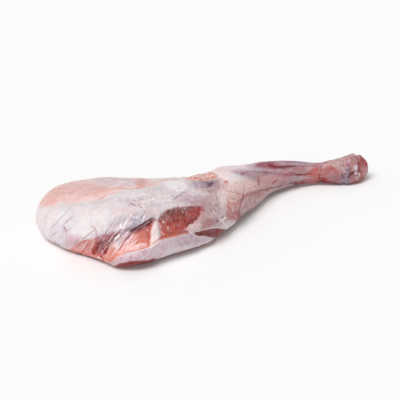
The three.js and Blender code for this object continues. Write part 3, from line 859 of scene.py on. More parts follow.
    line(DARK_BLOOD, 2.8, 0.7, ragged=0.8, red_edge=[
        (300, 181), (308, 180), (316, 179), (323, 178.4), (331, 178.8)])
    line(CLOT_DARK, 1.9, 0.85, ragged=0.7, grey_edge=[
        (284, 185.2), (288, 183.9), (292, 182.9), (299, 182.2)])
    line(VEIN, 1.7, 0.75, ragged=0.9, seam_clots=(
        [(258.4, 191), (262, 190)], [(264.4, 190), (267, 189.2)], [(269.6, 188.4), (274, 187)],
        [(276, 186.8), (282, 185.4)]))
    patch(DARK_FOOT, 1, soft=1.1, ragged=0.8, wet=0.1, rise=1.1, lower_edge=[
        (294, 184.6), (299, 182), (306, 180.8), (316, 179.8), (326, 179), (334, 180), (341, 182), (343, 190),
        (296, 192)])
    # Painted shade in dark maroon along the lower edge.
    line(DEEP_MAROON, 1.9, 0.9, ragged=0.6, lower_clots=(
        [(301, 181.8), (307, 182.2)], [(315, 181.2), (324, 180.4)], [(328, 181), (336, 182)]))


def paint_knuckle(flesh):
    """The knuckle: thin skin, bluish gristle round the joint and the bare red joint end."""
    patch, line, spots = flesh.patch, flesh.line, flesh.spots
    knuckle_edge = [(338, 140), (385, 140), (385, 195), (338, 195)]
    knuckle = flesh.area(knuckle_edge, soft=5, through=True)
    flesh.spread_web(knuckle)
    patch(TAN_SKIN, 0.85, soft=3, ragged=1, through=True, skin=[
        (322, 157), (338, 150), (349, 148), (348, 165), (346, 184), (336, 181), (328, 179), (325, 168)])
    patch(TAN_SKIN, soft=1.5, wet=0.6, through=True, joint=[
        (349, 158), (350, 145), (380, 145), (380, 192), (350, 190), (349, 180), (351, 172), (349, 165)])
    flesh.mottle(knuckle, BONE_WHITE, 4.5, 0.4, seed=56)
    flesh.mottle(knuckle, BLOOD_RED, 4, 0.25, seed=57)
    flesh.mottle(knuckle, MAUVE_FILM, 3, 0.2, seed=58, sharp=3)
    flesh.mottle(knuckle, SHANK_LIGHT, 2, 0.2, seed=85, sharp=4, rise=0.08)
    flesh.swell(knuckle, 4.5, 0.4, seed=59)
    flesh.swell(knuckle, 2.2, 0.12, seed=60)

    # Thin skin, flushed below.
    patch(TAN_FILM, 0.5, soft=2.5, ragged=1.5, pale_skin=[
        (329, 160), (338, 157), (349, 155), (348, 160), (345, 166), (345, 172), (339, 170), (336, 166),
        (328, 166)])
    patch(BLOOD_RED, 0.4, soft=2.6, ragged=1.8, flush=[
        (325, 167), (333, 166), (338, 170), (340, 175), (338, 178), (334, 174), (327, 172)])
    line(BLOOD_RED, 1.9, 0.45, ragged=0.9, flush_streaks=(
        [(327, 168), (332, 169), (337, 172), (340, 175.4)], [(324, 166), (329, 166.4), (334, 168.6)],
        [(326, 171), (331, 173), (336, 173.6)]))
    spots(JOINT_PINK, 3, 0.7, flush_light=[(332, 172.4)])
    patch(GRISTLE_BROWN, 0.4, soft=2.2, ragged=1.6, brown_skin=[
        (330, 176), (338, 174.6), (342, 177), (341, 181), (334, 180)])
    line(PURPLE_FILM, 1.3, 0.35, ragged=0.7, skin_line=[(322, 167), (330, 165), (338, 162)])
    line(MAUVE_FILM, 1.7, 0.3, rise=-0.2, ragged=0.9, skin_wrinkles=(
        [(336, 159.6), (339, 161.6), (341.6, 165)], [(341, 158.6), (343.6, 161.4), (345, 164.6)],
        [(347, 157.4), (348.6, 160.4), (348.4, 163.4)], [(331, 162), (335, 163.4), (338.6, 166.6)],
        [(340, 168), (342.4, 170.6), (343, 174)], [(334, 176.6), (338, 177.4), (341, 180)]))
    spots(VEIN, 2.8, 0.6, purple_blots=((346.4, 159.8), (357.6, 159), (349.6, 168.6), (343.4, 165.4)))
    spots(STRIP_LAVENDER, 3.8, 0.8, rise=0.9, pale_bulges=((352.8, 155.4), (342.4, 158.4)))
    spots(STRIP_LAVENDER, 5.5, 0.5, rise=1.8, top_lump=[(352.4, 155.2)])
    spots(JOINT_RED, 5, 0.5, rise=1.6, joint_corner=[(360.4, 156.6)])
    line(BLOOD_MAROON, 1.8, 0.6, rise=-0.5, ragged=0.8, joint_seam=[
        (345.6, 161), (347, 164), (349.4, 166.6), (350.8, 169.6)])

    # The bare joint end.
    patch(JOINT_RED, 0.9, soft=1.5, ragged=0.8, through=True, joint_red=[
        (359.4, 150), (366, 152), (372, 162), (374, 172), (368, 180), (358, 188), (350, 188), (352, 182.5),
        (360, 178), (361.4, 170), (360.4, 162)])
    patch(JOINT_PINK, 0.75, soft=1.6, ragged=1, joint_face=[
        (362, 166.6), (365, 166.4), (367, 169.6), (366, 174.6), (362.6, 176)])
    patch(JOINT_TAN, 0.7, soft=1.8, ragged=1.4, joint_pad=[
        (350, 158), (354, 157), (358, 158), (358, 163), (354, 165.4), (349.6, 164.6)])
    patch(JOINT_PALE, 0.85, soft=1, ragged=1.3, rise=0.8, joint_lumps=(
        [(353.6, 165.6), (356.6, 165), (358, 167.4), (357.4, 170.4), (354.6, 170.6)],
        [(354.6, 171.6), (357.4, 171.4), (357.6, 174.4), (355.4, 175)],
        [(358.6, 172.4), (360.2, 172.6), (360, 175.6), (358.8, 176)],
        [(355.6, 176.6), (357.8, 176.4), (357, 179.6)]))
    line(DARK_PURPLE, 1.3, 0.75, rise=-0.6, ragged=0.9, cracks=(
        [(357.8, 165.6), (358.4, 170.6), (357.8, 174.8)], [(353.8, 170.8), (357.6, 171)],
        [(353.6, 175.8), (357.8, 175.6)], [(350.6, 169.6), (352, 171.4)]))
    patch(DARK_PURPLE, 0.9, soft=1, ragged=1.2, rise=-0.9, joint_clefts=(
        [(358.2, 162.6), (360, 162.4), (361.2, 165), (360, 166), (358.4, 165)],
        [(358.4, 169), (360.4, 168.4), (360.2, 172), (358.6, 172.2)]))
    line(DARK_BLOOD, 2.4, 0.75, ragged=0.8, cleft_halo=[
        (359.4, 161), (360.4, 165), (360, 169), (361, 173), (361.2, 177)])
    line(VEIN, 1.4, 0.5, rise=-0.6, ragged=0.8, corner_notch=[(357, 155.4), (357.7, 157.5), (357.5, 160)])
    line(DARK_BLOOD, 2.2, 0.8, rise=0.4, ragged=0.5, upper_rim=[
        (360.2, 155.4), (361.6, 156.8), (363.4, 158.6), (364.8, 160.6)])
    spots(DARK_FOOT, 1.6, 0.7, rim_clots=((361, 156.4), (364, 159.4)))
    line(DARK_BLOOD, 1.7, 0.5, rise=0.4, end_rim=[
        (365.4, 161), (367.2, 164.4), (368.6, 168.6), (368.4, 172.6), (366, 176)])
    line(DARK_PURPLE, 2.2, 0.75, ragged=0.6, lower_rim=[
        (366, 176), (362.6, 178.2), (359, 180.2), (354, 181.8), (350, 183)])

    # Gristle round the joint, with painted highlights on it, and painted shade in its crevice and along the
    # lower edge.
    patch(GRISTLE, 0.85, soft=1.5, ragged=1.6, gristle=[
        (345.6, 166.4), (348.6, 166), (349.6, 169.6), (348.6, 174), (348.6, 178.6), (349.4, 183.6),
        (345, 186), (342, 184.6), (343, 180), (345.4, 176), (346, 171)])
    patch(GRISTLE_BROWN, 0.7, soft=1.4, ragged=1.2, brown_gristle=(
        [(341, 174.6), (345, 174), (346, 177), (344, 179.6), (341, 178.4)],
        [(341.6, 181), (348.6, 180.6), (349, 183.6), (343, 185)]))
    # Painted highlights on the bluish gristle.
    spots(GRISTLE_LIGHT, 2, 0.8, rise=0.4, light_gristle=(
        (347.3, 168), (347.6, 172.4), (347.4, 176), (346.6, 182.8), (344.6, 171.4)))
    crevice = [(354, 171.6), (352.6, 173), (350.8, 174.6), (349.2, 176.4), (348.4, 178.4)]
    line(VEIN, 3.6, 0.6, ragged=0.6, crevice=crevice)
    line(CREVICE_BLACK, 2.5, 1, rise=-1, ragged=1, crevice=crevice)
    spots(CREVICE_DARK, 2.2, 0.7, rise=-0.3, crevice_blot=((349, 177.6), (350.8, 175), (353, 173.2)))
    line(GRISTLE_BROWN, 1.5, 0.75, ragged=0.7, crevice_fork=[(348.4, 170), (350, 172), (351, 174)])
    # Painted shade along the knuckle's lower edge.
    line(CREVICE_BLACK, 2, 0.85, dark_foot=[(330, 181.8), (336, 182.4), (341, 183.8), (346, 185)])
    glazes = (
        (PURPLE_FILM, 0.4, [(342.6, 158.6), (349.6, 157.6), (351, 163), (345, 164.6)]),
        (DARK_BLOOD, 0.35, [(356.6, 161), (361, 159), (363.4, 166), (361, 171), (357.6, 168)]),
        (DARK_PURPLE, 0.3, [(347.6, 173.6), (353.6, 171.6), (354.6, 177.6), (349.6, 179.6)]),
        (GRISTLE_LIGHT, 0.35, [(339.6, 180), (346.6, 178.6), (347.6, 183.6), (341, 184.6)]),
        (DARK_BLOOD, 0.3, [(334, 178), (340, 177), (341, 182), (335, 183)]),
        (BLOOD_RED, 0.25, [(301, 174.6), (308, 173.6), (309, 178), (302, 178.6)]),
        (LEAN_PINK, 0.25, [(305, 179), (316, 178), (317, 182.6), (307, 183.6)]),
        (SINEW, 0.2, [(304, 166.6), (310.6, 165.6), (313, 168), (308, 170.4)]),
        (HOLLOW_BLUE, 0.6, [(293, 161), (304, 159.6), (314, 161), (311, 164.6), (298, 165)]),
    )
    flesh.glaze(glazes)


def paint_cap(flesh):
    """The fat cap over the blade: peach fat behind, white fascia in front, folded at the flank."""
    patch, line = flesh.patch, flesh.line
    flow = flesh.direction(start=(140, 205), end=(112, 238))
    length = flesh.direction(start=(50, 195), end=(100, 188))
    fat_edge = [(28, 207), (40, 206), (46, 206.5), (52, 205.5), (58, 202.5), (64, 201.5), (67, 204),
                (76, 203.5), (84, 201.5), (92, 201), (99, 198.5), (107, 195.5), (118, 192.5), (127, 190.5),
                (136, 189), (150, 186.5), (161, 184.5), (172, 180.5), (182, 178.5), (190, 176.5), (196, 160),
                (110, 150), (40, 160)]
    fat = flesh.area(fat_edge, soft=1.8, ragged=1, through=True)
    cap_edge = [(28, 206), (66, 203), (110, 194), (150, 186), (192, 177), (200, 190), (196, 206), (160, 211),
                (150, 220), (128, 234), (100, 240), (66, 248), (30, 235)]
    cap = flesh.area(cap_edge, soft=4, through=True)
    flesh.spread_web(np.maximum(cap, fat), share=0.4)
    patch(END_FAT, soft=5, ragged=2, through=True, pale_end=[
        (26, 214), (40, 207), (56, 206), (62, 214), (54, 226), (46, 236), (30, 236)])
    patch(LAVENDER_FASCIA, 0.45, soft=6, ragged=3, lavender=[
        (116, 199), (130, 196), (150, 190), (170, 185), (190, 181), (197, 190), (190, 196), (176, 200),
        (165, 206), (150, 209), (135, 208), (122, 206)])
    patch(BEIGE_FILM, 0.22, soft=4, warm=[
        (110, 212), (126, 205), (140, 208), (158, 206), (166, 206), (156, 213), (140, 218), (122, 222)])
    # The fan of fascia folds above the lip, greyed as painted shade.
    fan_edge = [(100, 235), (112, 224), (123, 216.6), (138, 210.6), (149, 211), (149, 216), (140, 224),
                (128, 231), (112, 236)]
    fan = flesh.area(fan_edge, soft=4)
    flesh.lay(fan, FAN_GREY, 0.9)
    flesh.threads(fan, WHITE_FASCIA, 3.2, 0.4, seed=38, along=flow, run=5, thin=0.16, rise=0.2)
    flesh.threads(fan, MAUVE_FILM, 3.4, 0.3, seed=39, along=flow, run=5, thin=0.12, rise=-0.2)
    flesh.mottle(cap, LAVENDER_FASCIA, 18, 0.35, seed=21, along=flow, run=1.6)
    flesh.mottle(cap, WHITE_FASCIA, 11, 0.35, seed=22, along=flow, run=1.8)
    flesh.mottle(cap, BEIGE_FILM, 7, 0.14, seed=23, along=flow, run=2)
    flesh.mottle(cap, STRIP_LAVENDER, 4.5, 0.16, seed=79, along=flow, run=1.6, sharp=2.5)
    flesh.mottle(cap, WHITE_FASCIA, 3.2, 0.2, seed=80, along=flow, run=2, sharp=3, rise=0.06)
    flesh.threads(cap, WHITE_FASCIA, 7, 0.2, seed=24, along=flow, run=4, rise=0.08)
    flesh.threads(cap, GREY_FILM, 6, 0.12, seed=25, along=flow, run=4, rise=-0.08)
    flesh.swell(cap, 3.2, 0.14, seed=26, along=flow, run=3)

    # Peach fat, folded against the cap.
    flesh.lay(fat, PALE_PEACH_FAT, lean=0, wet=FAT_WETNESS)
    patch(PEACH_FAT, 0.85, soft=4, through=True, lobe=[
        (38, 205), (45, 206), (53, 204.5), (60, 201), (72, 202), (84, 200), (96, 198), (108, 193),
        (114, 189), (104, 187), (92, 184), (76, 181), (60, 184), (46, 190)])
    patch(DEEP_PEACH_FAT, 0.3, soft=3, blush=[
        (40, 203), (50, 205), (58, 200), (64, 194), (58, 190), (46, 195)])
    patch(DEEP_PEACH_FAT, 0.4, soft=2.5, peach_band=[
        (84, 195), (96, 193), (110, 190), (118, 189.5), (112, 187), (98, 188), (86, 190)])
    patch(LAVENDER_FASCIA, 0.65, soft=2.5, through=True, lavender_sheen=[
        (92, 180), (104, 178), (122, 177), (134, 181), (137, 185), (128, 187), (116, 186.5), (104, 185)])
    flesh.mottle(fat, DEEP_PEACH_FAT, 9, 0.22, seed=27, along=length, run=2.5)
    flesh.mottle(fat, WHITE_FASCIA, 7, 0.18, seed=28, along=length, run=3)
    flesh.threads(fat, DEEP_PEACH_FAT, 9, 0.3, seed=29, along=length, run=4, thin=0.08)
    flesh.swell(fat, 5, 0.25, seed=30, along=length, run=2)
    far_edge = [(106, 178), (140, 176), (182, 176), (184, 182), (150, 186), (110, 188)]
    far_fat = flesh.area(far_edge, soft=2)
    flesh.mottle(far_fat, DEEP_PEACH_FAT, 5, 0.35, seed=104, along=length, run=3, sharp=3)
    flesh.mottle(far_fat, WHITE_FASCIA, 4, 0.4, seed=105, along=length, run=3, sharp=3)
    patch(DEEP_PEACH_FAT, 0.8, soft=2.4, ragged=2, far_blush=[
        (136, 181), (140, 178), (146, 180), (146, 185.6), (139, 187.4), (135, 185)])
    line(BLOOD_RED, 2.4, 0.35, ragged=1.4, blush_streaks=(
        [(139.6, 184.7), (143.4, 184.6)], [(140, 181.6), (142.4, 182.4)], [(139, 182.4), (140.6, 183.4)]))
    patch(WET_WHITE, 0.75, soft=2.6, ragged=1.6, white_cap=[
        (164, 183.6), (170, 180.6), (178, 181), (186, 183), (187, 188), (179, 192), (171, 190)])
    line(DEEP_PEACH_FAT, 2.2, 0.75, rise=-0.5, fold_shade=[
        (112, 188.6), (120, 188.2), (128, 188.7), (137, 188), (143, 186.5), (158, 185)])
    line(WHITE_FASCIA, 2, 0.5, rise=0.4, fold_light=[(118, 190.2), (128, 190), (138, 189.4), (150, 187.5)])
    line(RUST, 1.4, 0.5, rise=-0.4, ragged=0.6, rust_seam=[
        (90.5, 203), (95, 201), (100, 199), (104, 196.5), (107, 193), (109.5, 190)])
    line(DEEP_PEACH_FAT, 1.4, 0.6, ragged=0.6, seam_branch=[(104, 196.5), (112, 193.5), (122, 191.2)])
    line(BLOOD_RED, 1.2, 0.32, ragged=0.7, pink_streaks=(
        [(67, 193.5), (71, 192), (75, 191)], [(75, 199.5), (79, 198.5)], [(84, 195), (88, 194)],
        [(62, 199), (66, 198)], [(97, 179), (101, 178.5)], [(82, 180.5), (87, 179.5)],
        [(147, 184.5), (160, 184)], [(44, 199), (52, 195.5)], [(56, 189), (66, 186.5)],
        [(123, 178), (131, 179)], [(184.4, 194.7), (187.6, 193.2)], [(176, 184.6), (178, 184.4)]))

    # Creases and films on the white fascia, and a painted shadow beside the fold.
    # Lavender-grey painted shadow beside the fold.
    patch(LAVENDER_FASCIA, 0.6, soft=3, rise=-0.4, fold_hollow=[
        (62, 224), (64, 219), (72, 217), (78, 220), (74, 226), (70, 232), (66, 230)])
    patch(WHITE_FASCIA, 0.4, soft=5, ragged=2, white_side=[
        (52, 214), (66, 212), (76, 224), (80, 234), (72, 236), (64, 234), (56, 226)])
    patch(LAVENDER_FASCIA, 0.5, soft=2, pale_flap=[
        (50, 231), (58, 225), (63, 228), (66, 236), (66, 246), (60, 244), (52, 240)])
    line(GREY_FILM, 1.5, 0.6, rise=-0.7, ragged=0.6, crease=[
        (71, 207), (66, 212), (61, 217.5), (57, 222), (53, 226), (50, 229)])
    line(PURPLE_FILM, 2.4, 0.32, rise=-0.5, ragged=0.9, purple_fold=[
        (74, 214), (68, 220), (63.5, 225), (63.6, 228), (65.5, 231), (66.5, 235), (66, 240)])
    patch(STRIP_LAVENDER, 0.4, soft=2, ragged=1.4, fold_side=[
        (61.6, 227), (66, 227.6), (70, 232), (69, 239), (65, 242), (62.6, 236)])
    line(MAUVE_FILM, 1.5, 0.75, rise=-0.6, ragged=0.7, fold_squiggle=[
        (63.4, 225.6), (64.6, 228.4), (66.6, 230.6), (67.4, 233)])
    line(MAUVE_FILM, 1, 0.35, rise=-0.3, ragged=0.8, fold_ticks=(
        [(65, 228.6), (69, 224.6)], [(66.6, 231.6), (71, 227.6)], [(68, 221), (72, 217.6)],
        [(64.6, 224.6), (68, 221)]))
    line(WHITE_FASCIA, 1.6, 0.5, rise=0.6, fold_lip=[(72, 219), (67, 224), (66.5, 229), (68.5, 234)])
    patch(FAN_GREY, 0.45, soft=2.2, ragged=2, grey_smudges=(
        [(126, 199), (133, 201), (140, 198.4), (148, 196.6), (152, 198.4), (146, 201.6), (138, 205),
         (129, 205.6)],
        [(144, 204.8), (150, 202.8), (158, 203), (164, 205), (157, 206.8), (148, 206.6)],
        [(118, 199), (122, 200), (121, 203)],
        [(173, 199.6), (180, 194.6), (186.6, 190.8), (188, 192.6), (181, 197.4), (175, 201)],
        [(186, 196), (198, 195.6), (199, 200), (188, 201)]))
    patch(BEIGE_FILM, 0.3, soft=2.6, ragged=2, warm_films=(
        [(121, 209), (128, 206.6), (137, 207.6), (136, 214), (126, 217)],
        [(144, 209), (153, 207.6), (160, 207.4), (150, 214)]))
    line(WHITE_FASCIA, 2.6, 0.6, rise=0.5, ragged=1.2, wave_lights=(
        [(128, 197.6), (136, 195.4), (144, 193.6), (153, 192)], [(142, 203), (149, 200), (156, 199.4)]))
    line(TAN_SKIN, 1.3, 0.6, rise=-0.4, ragged=0.8, brown_lines=(
        [(90, 225), (93.5, 227.5), (96, 231), (97, 235.5)], [(95, 229.5), (90, 233), (86, 237), (82, 240)],
        [(51.5, 235.5), (55, 233.3), (58, 231.3)], [(59, 240), (60, 237.5), (63, 236)]))
    line(LEAN_BROWN, 1.1, 0.8, rise=-0.5, flap_edge=[(51, 240), (56, 242.7), (60, 245), (66, 247.3)])
    line(END_FAT, 1.3, 0.8, flap_foot=[(54, 243.5), (60, 246.5), (66, 249)])
    line(PURPLE_FILM, 1.3, 0.9, rise=-0.7, ragged=0.6, slits=(
        [(130.5, 202.5), (133.6, 204.4), (137, 206.6)], [(137, 203.8), (140, 205.8), (143, 207.8)],
        [(132, 199.5), (138, 201)]))
    line(WHITE_FASCIA, 1.1, 0.8, rise=0.5, wet=0.9, slit_lights=(
        [(133, 201.6), (136.4, 204), (139.6, 206.4)], [(136.8, 201.4), (139.6, 203.2)]))
    fold_tops = [(112, 220), (122, 211), (136, 206), (154, 206)]
    fold_feet = [(90, 243), (102, 239), (114, 234), (127, 230), (142, 222.5)]
    # Strands over the fan: bluish-grey ones sunk between, and white ones brightened with painted highlights.
    flesh.strands(fold_tops, fold_feet, 22, [MAUVE_FILM, FAN_BLUE, GREY_FILM, FAN_BLUE], 1.1, 0.6, seed=32,
                  rise=-0.4)
    flesh.strands(fold_tops, fold_feet, 24, [WET_WHITE, WHITE_FASCIA, CREAM_FASCIA], 0.85, 0.6, seed=31,
                  rise=0.4, wet=0.7)
    patch(STRIP_LAVENDER, 0.3, soft=3, ragged=2, fan_dusk=[
        (111, 224), (120, 220), (130, 219), (133, 224), (124, 228), (112, 230)])
    # Bluish patches in the fan; the narrow first one is a painted shadow beside a white streak.
    patch(FAN_BLUE, 0.6, soft=1.5, ragged=1.2, fan_blues=(
        [(140.4, 216.4), (142.6, 216.6), (142, 221.6), (140, 222.4)],
        [(132.6, 218), (139, 219), (138, 225), (132, 225.6)]))
    # White ridges in the fan, brightened with painted highlights.
    line(WET_WHITE, 1.3, 0.85, rise=0.6, wet=0.9, ragged=0.6, fan_whites=(
        [(127.4, 220.6), (125, 224.6), (122.4, 229.6)], [(128.8, 218), (126.6, 222)],
        [(131.8, 212.8), (131, 217)], [(144.4, 215.6), (143.8, 219), (142.6, 222.6)],
        [(131.8, 221), (131.4, 225)], [(136.4, 216.4), (137.4, 218.6)], [(133.6, 216), (134.4, 218.4)],
        [(121.6, 222.6), (120.4, 229)], [(117.6, 229.4), (118.4, 232)]))

    # The cap's right side, which folds against the elbow.
    right_edge = [(134, 198), (150, 190), (172, 186), (192, 186), (198, 192), (200, 204), (176, 206),
                  (150, 206), (138, 205)]
    right = flesh.area(right_edge, soft=4)
    flesh.mottle(right, GREY_FILM, 5, 0.24, seed=86, sharp=3)
    flesh.mottle(right, WHITE_FASCIA, 4, 0.45, seed=87, sharp=3, rise=0.15)
    flesh.mottle(right, STRIP_LAVENDER, 3, 0.3, seed=88, sharp=3)
    flesh.mottle(right, PALE_PEACH_FAT, 6, 0.3, seed=89, sharp=3)
    patch(STRIP_LAVENDER, 0.5, soft=3, ragged=1.5, mauve_fold=[
        (176, 200), (181, 196), (187, 193), (195, 194), (202, 196), (204, 203), (196, 206), (186, 205),
        (178, 204)])
    patch(JOINT_TAN, 0.4, soft=2, ragged=1.6, brown_fold=[
        (192, 201.4), (198, 199.6), (204, 201), (204, 205), (197, 206), (192, 205)])
    line(PURPLE_FILM, 1.9, 0.25, ragged=0.9, mauve_streaks=(
        [(188, 196), (193, 197.6), (198, 197.4)], [(180, 201), (186, 199.6), (191, 201)],
        [(190, 203), (197, 202)]))
    line(GREY_FILM, 2.2, 0.75, rise=-0.5, ragged=0.7, grey_streak=[
        (173.4, 199.8), (177, 197.4), (180.4, 195), (184, 192.4), (186.6, 191)])
    # Painted highlights on the cap's right side.
    line(WET_WHITE, 1.6, 0.6, rise=0.3, wet=0.8, ragged=0.8, bright_flecks=(
        [(181, 190.4), (183.4, 190)], [(171.6, 198.4), (173.4, 198.8)], [(169.6, 194.6), (170.6, 196.4)],
        [(161.4, 196), (166.4, 196.8)], [(141, 201.6), (148, 201.8)], [(190.6, 190.4), (195, 189.4)],
        [(187, 188), (194.6, 187)], [(176, 191), (180, 193)], [(152, 198), (153.4, 200.4)]))
    line(TAN_SKIN, 1.4, 0.35, ragged=0.9, brown_flecks=(
        [(151, 193.4), (153, 194.4)], [(151, 197.6), (152.6, 196.4)], [(168, 205), (169, 206.8)],
        [(159, 192), (161.4, 191.2)], [(146, 193), (149, 191.6)], [(171, 201.6), (174.4, 203)]))


def paint_flank(flesh):
    """The lean of the cut flank: the blade's end, the folds under the cap's lip and the fan below it."""
    patch, line, spots = flesh.patch, flesh.line, flesh.spots
    patch(PINK_FILM, 0.62, soft=3.4, ragged=2, wet=0.5, film=[
        (66, 240), (70, 236), (77, 236), (83, 239), (81, 242), (77, 245), (72, 248.5), (66, 247)])
    film_tops, film_feet = [(69, 236), (84, 238.5)], [(65, 246), (76, 247)]
    flesh.strands(film_tops, film_feet, 14, [PURPLE_FILM, SINEW, PINK_FILM, SINEW], 1, 0.5, seed=40)
    patch(BLADE_LEAN, soft=1.4, lean=0.8, wet=0.55, rise=-0.8, blade_lean=[
        (69, 250), (74, 247), (79, 243), (84, 240.5), (90, 239.5), (94, 238.4), (98, 238.6), (102, 241),
        (104, 248), (104, 256), (106, 261), (112, 268), (90, 268), (76, 260)])
    patch(LIP_SHADE, 0.85, soft=2.4, ragged=1.6, lean=0.5, rise=-0.9, lip_shade=[
        (96, 240), (100, 236), (106, 234), (112, 233), (118, 231.8), (122, 230.6), (121, 234), (116, 239),
        (111, 244.6), (106, 251), (101, 255), (97, 254), (98, 247)])
    patch(DARK_BLOOD, 0.7, soft=2, ragged=1.6, lip_red=[
        (99, 242), (104, 241), (109, 241), (108, 246), (104, 251), (99, 251)])
    patch(LEAN_PINK, soft=1.2, lean=0.9, wet=0.55, rise=-0.8, fan_lean=[
        (131, 233), (136, 230.5), (142, 228.5), (148, 225.5), (152, 221), (154, 222), (152.5, 228),
        (152, 234), (152, 240), (151, 246), (146, 248), (140, 249.5), (132, 251), (126, 253), (120, 256),
        (114, 260), (109, 263), (104, 261), (104, 256), (107, 250), (111, 245), (115, 241.5), (120, 237),
        (126, 234.5)])
    patch(FAN_ORANGE, soft=2, lean=1, fan_orange=[
        (133.6, 235), (138, 231), (145, 229), (149, 230), (150, 238), (147, 243), (141, 242), (136, 244.4),
        (133, 241)])
    patch(LEAN_RED, 0.9, soft=1.4, lean=1, fan_red=[
        (136, 231), (143, 228.5), (149, 223.6), (152, 225), (150.4, 232), (149.8, 244), (148, 245),
        (148, 238), (145, 232.6)])
    patch(PALE_SINEW, 0.65, soft=2, ragged=1.5, fan_pale=[
        (113, 243), (120, 238), (128, 235.6), (131, 236.4), (129, 241), (125, 245), (119, 248),
        (114, 247.6)])
    patch(LEAN_ORANGE, 0.6, soft=2, ragged=1.4, fan_foot=[
        (104, 256), (108, 252), (112, 250), (116, 254), (111, 261), (106, 261)])
    paint_window(flesh)
    grain = flesh.direction(start=(134, 231), end=(120, 249))
    flesh.mottle(flesh.lean, LEAN_DARK, 2.2, 0.2, seed=61, along=grain, run=3)
    flesh.mottle(flesh.lean, LEAN_ORANGE, 1.8, 0.22, seed=62, along=grain, run=3)
    flesh.mottle(flesh.lean, PALE_SINEW, 1.4, 0.08, seed=63, along=grain, run=3, sharp=3)

    # The blade's end: slanting streaks, a brick-red fold with a painted highlight and painted shade along
    # it, and painted shade in dark maroon beside it.
    blade_tops = [(78, 244.5), (86, 240.8), (92, 239), (97, 237.4)]
    blade_feet = [(72, 251), (79, 254), (86, 254.6), (91, 254)]
    flesh.strands(blade_tops, blade_feet, 26, [LEAN_RED, SINEW, BRICK_FOLD, SINEW, DARK_BLOOD], 1, 0.85,
                  seed=33, rise=0.2)
    # Dark maroon in the recess beside the fold, painted shade.
    patch(MAROON, 0.5, soft=1.4, ragged=1.2, lean=0.8, rise=-1.2, cut=[
        (103, 240.4), (105.6, 240.6), (103.6, 245), (100.6, 250), (98, 255.6), (95.6, 254.6), (96.8, 249.6),
        (99.6, 243.6)])
    patch(BRICK_FOLD, 1, soft=1.3, ragged=0.8, lean=0.6, wet=0.8, rise=1.3, brick_fold=[
        (97.4, 241.6), (99.2, 239.4), (99.4, 242), (97.2, 246), (95.8, 253.6), (91.6, 253.6), (91.8, 249.6),
        (93.8, 245.6)])
    line(WINDOW_LEAN, 2.4, 0.7, rise=0.3, wet=0.9, brick_light=[
        (96.4, 241), (93.8, 245.4), (92.4, 249), (91.6, 252)])
    line(MAROON, 1.5, 0.55, rise=-0.6, brick_shade=[(98.6, 243), (97.2, 247.6), (96.4, 252.6)])
    patch(PURPLE_FILM, 0.65, soft=1.2, mauve_foot=[
        (98.6, 250), (101.4, 249.4), (102, 252), (99.6, 254.4), (98, 253)])
    spots(WET_WHITE, 1.5, 0.85, wet=0.9, white_fleck=[(101.4, 251.3)])
    patch(LEAN_RED, 0.3, soft=2, rise=1.9, blade_foot=[
        (74, 250), (84, 252), (96, 254), (106, 258), (106, 266), (84, 262), (72, 254)])
    patch(LEAN_PINK, 0.65, soft=1.8, ragged=1.4, pale_corner=[
        (73, 248), (79, 243.6), (83, 245), (81, 250), (76, 250.6)])
    line(LEAN_RED, 1.4, 0.5, rise=-0.6, blade_seam=[(75.5, 248.6), (80, 244.6), (83.4, 241.8), (90, 240.2)])
    line(LEAN_RED, 1.4, 0.8, blade_edge=[(71, 249), (74, 252), (78, 254), (84, 256), (92, 257.5)])
    line(MAROON, 1.2, 0.7, rise=-0.4, dark_edge=[(74, 250.6), (78, 252.8), (83, 254.5)])
    # A painted highlight along the wet lower edge.
    line(WET_WHITE, 1.3, 0.95, wet=1, rise=0.6, wet_edge=[(97.8, 256.8), (100.6, 257.3), (102.8, 259)])
    line(MAROON, 1.5, 0.8, red_foot=[(86, 258), (93, 259.3), (100, 260.3), (106, 262.5)])

    # Strands under the lip, dark and wet, all on the slant.
    lip_tops = [(104, 236), (109, 234), (116, 232), (121, 231.6), (126, 230.4)]
    lip_feet = [(96.6, 250), (98.6, 251.4), (102, 252), (109, 245.5), (116, 240)]
    flesh.strands(lip_tops, lip_feet, 22, [DARK_BLOOD, PURPLE_CLOT, MAROON, PURPLE_CLOT], 0.8, 0.6, seed=34,
                  rise=-0.6)
    pale_strands = [PALE_SINEW, PINK_FILM, BLOOD_RED, SINEW]
    flesh.strands(lip_tops, lip_feet, 24, pale_strands, 0.8, 0.85, seed=35, rise=0.6, wet=0.9)
    line(DARK_PURPLE, 1.2, 0.6, rise=-0.6, ragged=0.6, dark_creases=(
        [(120.2, 232.8), (116, 236.6), (113, 240), (110.6, 243)], [(123, 233), (121, 235.4), (118.8, 237.8)],
        [(110.6, 237), (105.6, 242), (101.6, 246.6)], [(104.6, 240.6), (101.4, 244.6)],
        [(109.4, 242.6), (104.6, 248)]))
    line(WET_WHITE, 1.7, wet=1, rise=0.8, wet_glint=[(120.6, 233.8), (117.4, 236.8), (114.4, 239.8)])
    line(SINEW, 1.2, 0.85, wet=1, rise=0.6, faint_glints=(
        [(113.4, 235), (111, 239.4), (108.6, 243)], [(104.6, 242), (101.6, 247)], [(107, 246), (104, 250)]))
    line(WHITE_FASCIA, 1.3, 0.8, wet=0.9, rise=0.4, bluish_glints=(
        [(127, 230.4), (125.6, 233.4)], [(117, 232), (114, 235)], [(122.4, 231), (120.6, 233)]))
    fan_tops = [(117, 239), (126, 235), (135, 232), (147, 229)]
    fan_feet = [(104, 259), (110, 258), (120, 252.4), (138, 247.6)]
    flesh.strands(fan_tops, fan_feet, 30, [SINEW, LEAN_RED, LEAN_PINK, RUST, SINEW, LEAN_ORANGE], 0.8, 0.7,
                  seed=36, rise=0.3)
